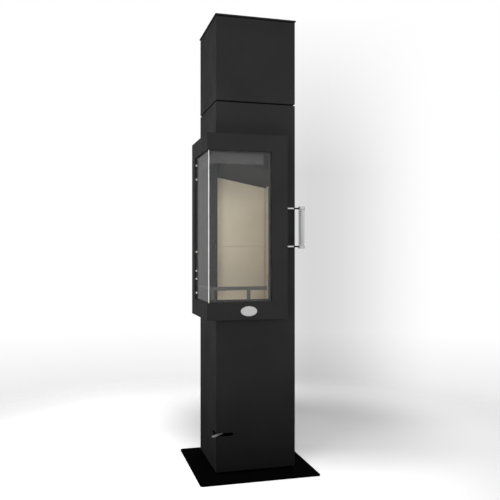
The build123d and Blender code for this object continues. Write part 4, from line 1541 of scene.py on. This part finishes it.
@dataclass
class Studio:
    """Pale floor, soft lamps and the camera, as the stove is seen in the picture."""

    camera_place: Triple = (-0.7746, -2.9158, 0.9713)
    camera_yaw: float = 15.204
    lens: float = 46.976
    shift: float = 0.0042
    ambient: float = 0.02
    mirrored: Pair = (1.0, 0.24)
    mirrored_span: Pair = (-0.3, 0.5)
    floor_half: float = 6.0
    floor_tones: Pair = (0.90, 0.93)
    floor_cloud: float = 1.5
    cloud_span: Pair = (0.3, 0.7)
    unseen_tone: float = 0.15
    floor_glow: Pair = (0.85, 0.50)
    glow_span: Pair = (-0.6, 0.9)
    shade_spot: Triple = (0.45, 0.6, 0.0)
    shade_reach: Pair = (0.25, 1.15)
    floor_fade: Pair = (0.9, 2.4)
    shade_side: float = 20.5
    shade_rise: float = 7.0
    shade_fall: float = 11.0
    shade_span: Pair = (0.12, 0.34)
    shade_depth: float = 0.32
    low_span: Pair = (-0.24, -0.12)
    low_depth: float = 0.22
    lamps: tuple[Lamp, ...] = (
        Lamp("right_lamp", (2.2, -2.4, 1.2), (0.05, 0.0, 1.40), 255.0, 54.0),
        Lamp("front_box", (0.3, -2.6, 2.2), (0.0, 0.0, 1.30), 3.4, 60.0, panel=(1.6, 1.0)),
        Lamp("front_left_box", (-1.9, -2.2, 1.05), (0.0, 0.0, 1.25), 4.0, 60.0, panel=(1.0, 1.2)),
        Lamp("left_box", (-2.9, 0.6, 1.1), (-0.2, 0.0, 1.28), 20.0, 56.0, panel=(1.4, 1.4)),
        Lamp("floor_bounce", (-0.2, -1.5, 0.02), (-0.2, -1.5, 1.0), 40.5, 180.0, panel=(2.4, 1.2)),
        Lamp("top_box", (-0.5, -1.3, 3.3), (0.0, 0.0, 1.40), 12.6, 90.0, panel=(2.0, 1.4)),
        Lamp("rear_box", (1.2, 2.8, 1.6), (0.0, 0.0, 1.10), 22.0, 80.0, panel=(1.6, 1.6)),
    )

    def build(self) -> None:
        """Set up the stage."""
        self.build_floor()
        self.build_world()
        for lamp in self.lamps:
            lamp.hang()
        self.build_camera()
        view = bpy.context.scene.view_settings
        view.view_transform = "Standard"
        view.look = "None"

    @staticmethod
    def in_sight(wiring: Wiring, steps: float) -> Socket:
        """A mask of what the camera sees, also straight through panes.

        A ray that came straight through has taken no more steps than it crossed surfaces.

        Args:
            wiring: The wiring to add it to.
            steps: Steps that count as none: 0.5 on a surface, and 1.5 for the backdrop, which is one step on.

        Returns:
            1 where it is in sight, and 0 for light that was turned on its way.
        """
        path = wiring.add("LightPath").outputs
        turned_away = wiring.math("SUBTRACT", path["Ray Depth"], path["Transmission Depth"])
        through = wiring.times(path["Is Transmission Ray"], wiring.math("LESS_THAN", turned_away, steps))
        return wiring.math("MAXIMUM", path["Is Camera Ray"], through)

    def build_floor(self) -> None:
        """A pale floor that fades into the backdrop, and sends little light back up. To the camera it glows as painted
        light, brighter to the left, with a painted shadow of the stove behind its right.
        """
        half = self.floor_half
        mesh = bpy.data.meshes.new("studio_floor")
        mesh.from_pydata([(-half, -half, 0.0), (half, -half, 0.0), (half, half, 0.0), (-half, half, 0.0)], [],
                         [(0, 1, 2, 3)])
        floor = stand("studio_floor", mesh)
        canvas = Canvas("pale_floor")
        wiring, place = canvas.wiring, canvas.place
        tone = wiring.span(wiring.noise(place, self.floor_cloud, detail=4.0), *self.cloud_span)
        shade = wiring.mixed(tone, *(opaque(grey(level)) for level in self.floor_tones))
        seen = self.in_sight(wiring, steps=0.5)
        paper = wiring.add("BsdfDiffuse", {"Color": wiring.mixed(seen, opaque(grey(self.unseen_tone)), shade)})
        # Painted light: the floor glows to the camera, more on its left than on its right.
        brighter = wiring.span(wiring.split(place)["X"], *self.glow_span, *self.floor_glow)
        # Painted shadow: the glow fades out round a spot behind the stove's right.
        shaded = wiring.add("VectorMath", {0: place, 1: self.shade_spot}, operation="DISTANCE").outputs["Value"]
        brighter = wiring.times(brighter, wiring.span(shaded, *self.shade_reach, smooth=True))
        glow = wiring.add("Emission", {"Color": opaque(WHITE), "Strength": wiring.times(seen, brighter)})
        lit = wiring.add("AddShader", {0: paper.outputs[0], 1: glow.outputs[0]})
        reach = wiring.add("VectorMath", {0: place}, operation="LENGTH").outputs["Value"]
        gone = wiring.span(reach, *self.floor_fade, smooth=True)
        mix = wiring.add("MixShader", {0: gone, 1: lit.outputs[0], 2: wiring.add("BsdfTransparent").outputs[0]})
        wiring.feed(canvas.surface, mix.outputs[0])
        mesh.materials.append(canvas.material)

    def build_world(self) -> None:
        """A white backdrop with the stove's soft shade painted on its right and painted shade low down, which lights
        more softly than it looks.
        """
        world = bpy.data.worlds.new("white_room")
        bpy.context.scene.world = world
        world.use_nodes = True
        wiring = Wiring(world.node_tree)
        backdrop = world.node_tree.nodes["Background"]
        way = wiring.split(wiring.add("TexCoord").outputs["Generated"])
        turn = wiring.math("ARCTAN2", way["X"], way["Y"])
        side, rise, fall = (math.radians(angle) for angle in (self.shade_side, self.shade_rise, self.shade_fall))
        shade = wiring.times(wiring.span(turn, side - rise, side, smooth=True),
                             wiring.span(turn, side, side + fall, 1.0, 0.0, smooth=True))
        shade = wiring.times(shade, wiring.span(way["Z"], *self.shade_span, 1.0, 0.0))
        # Painted shade: the backdrop also darkens below the level, as a wall does where it meets the floor.
        low = wiring.span(way["Z"], *self.low_span, self.low_depth, 0.0)
        look = wiring.math("SUBTRACT", 1.0, wiring.math("ADD", wiring.times(shade, self.shade_depth), low))
        glossy = wiring.add("LightPath").outputs["Is Glossy Ray"]
        mirrored = wiring.span(way["Y"], *self.mirrored_span, *self.mirrored)
        given = wiring.add("Mix", {0: glossy, 2: self.ambient, 3: mirrored}).outputs[0]
        strength = wiring.add("Mix", {0: self.in_sight(wiring, steps=1.5), 2: given, 3: look}).outputs[0]
        wiring.feed(backdrop.inputs["Strength"], strength)
        wiring.feed(backdrop.inputs["Color"], opaque(WHITE))

    def build_camera(self) -> None:
        """The camera at the picture's viewing point, looking level."""
        data = bpy.data.cameras.new("camera")
        data.lens = self.lens
        data.shift_y = self.shift
        camera = stand("camera", data)
        camera.location = self.camera_place
        camera.rotation_euler = (QUARTER_TURN, 0.0, -math.radians(self.camera_yaw))
        bpy.context.scene.camera = camera


def main() -> None:
    """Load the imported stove, build and dress every sub-assembly, and set the stage."""
    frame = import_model()
    logging.basicConfig(level=logging.INFO, format="%(name)s %(message)s")
    shop = Workshop(frame["nodes"])
    for assembly in (Base(), Casing(), SmokeAndAir(), Firebox(), DoorHead(), Handle()):
        assembly.build(shop)
        log.info("%s done", type(assembly).__name__)
    for name in sorted(shop.undressed):
        log.warning("%s has no finish yet", name)
    Studio().build()


if __name__ == "__main__":
    main()
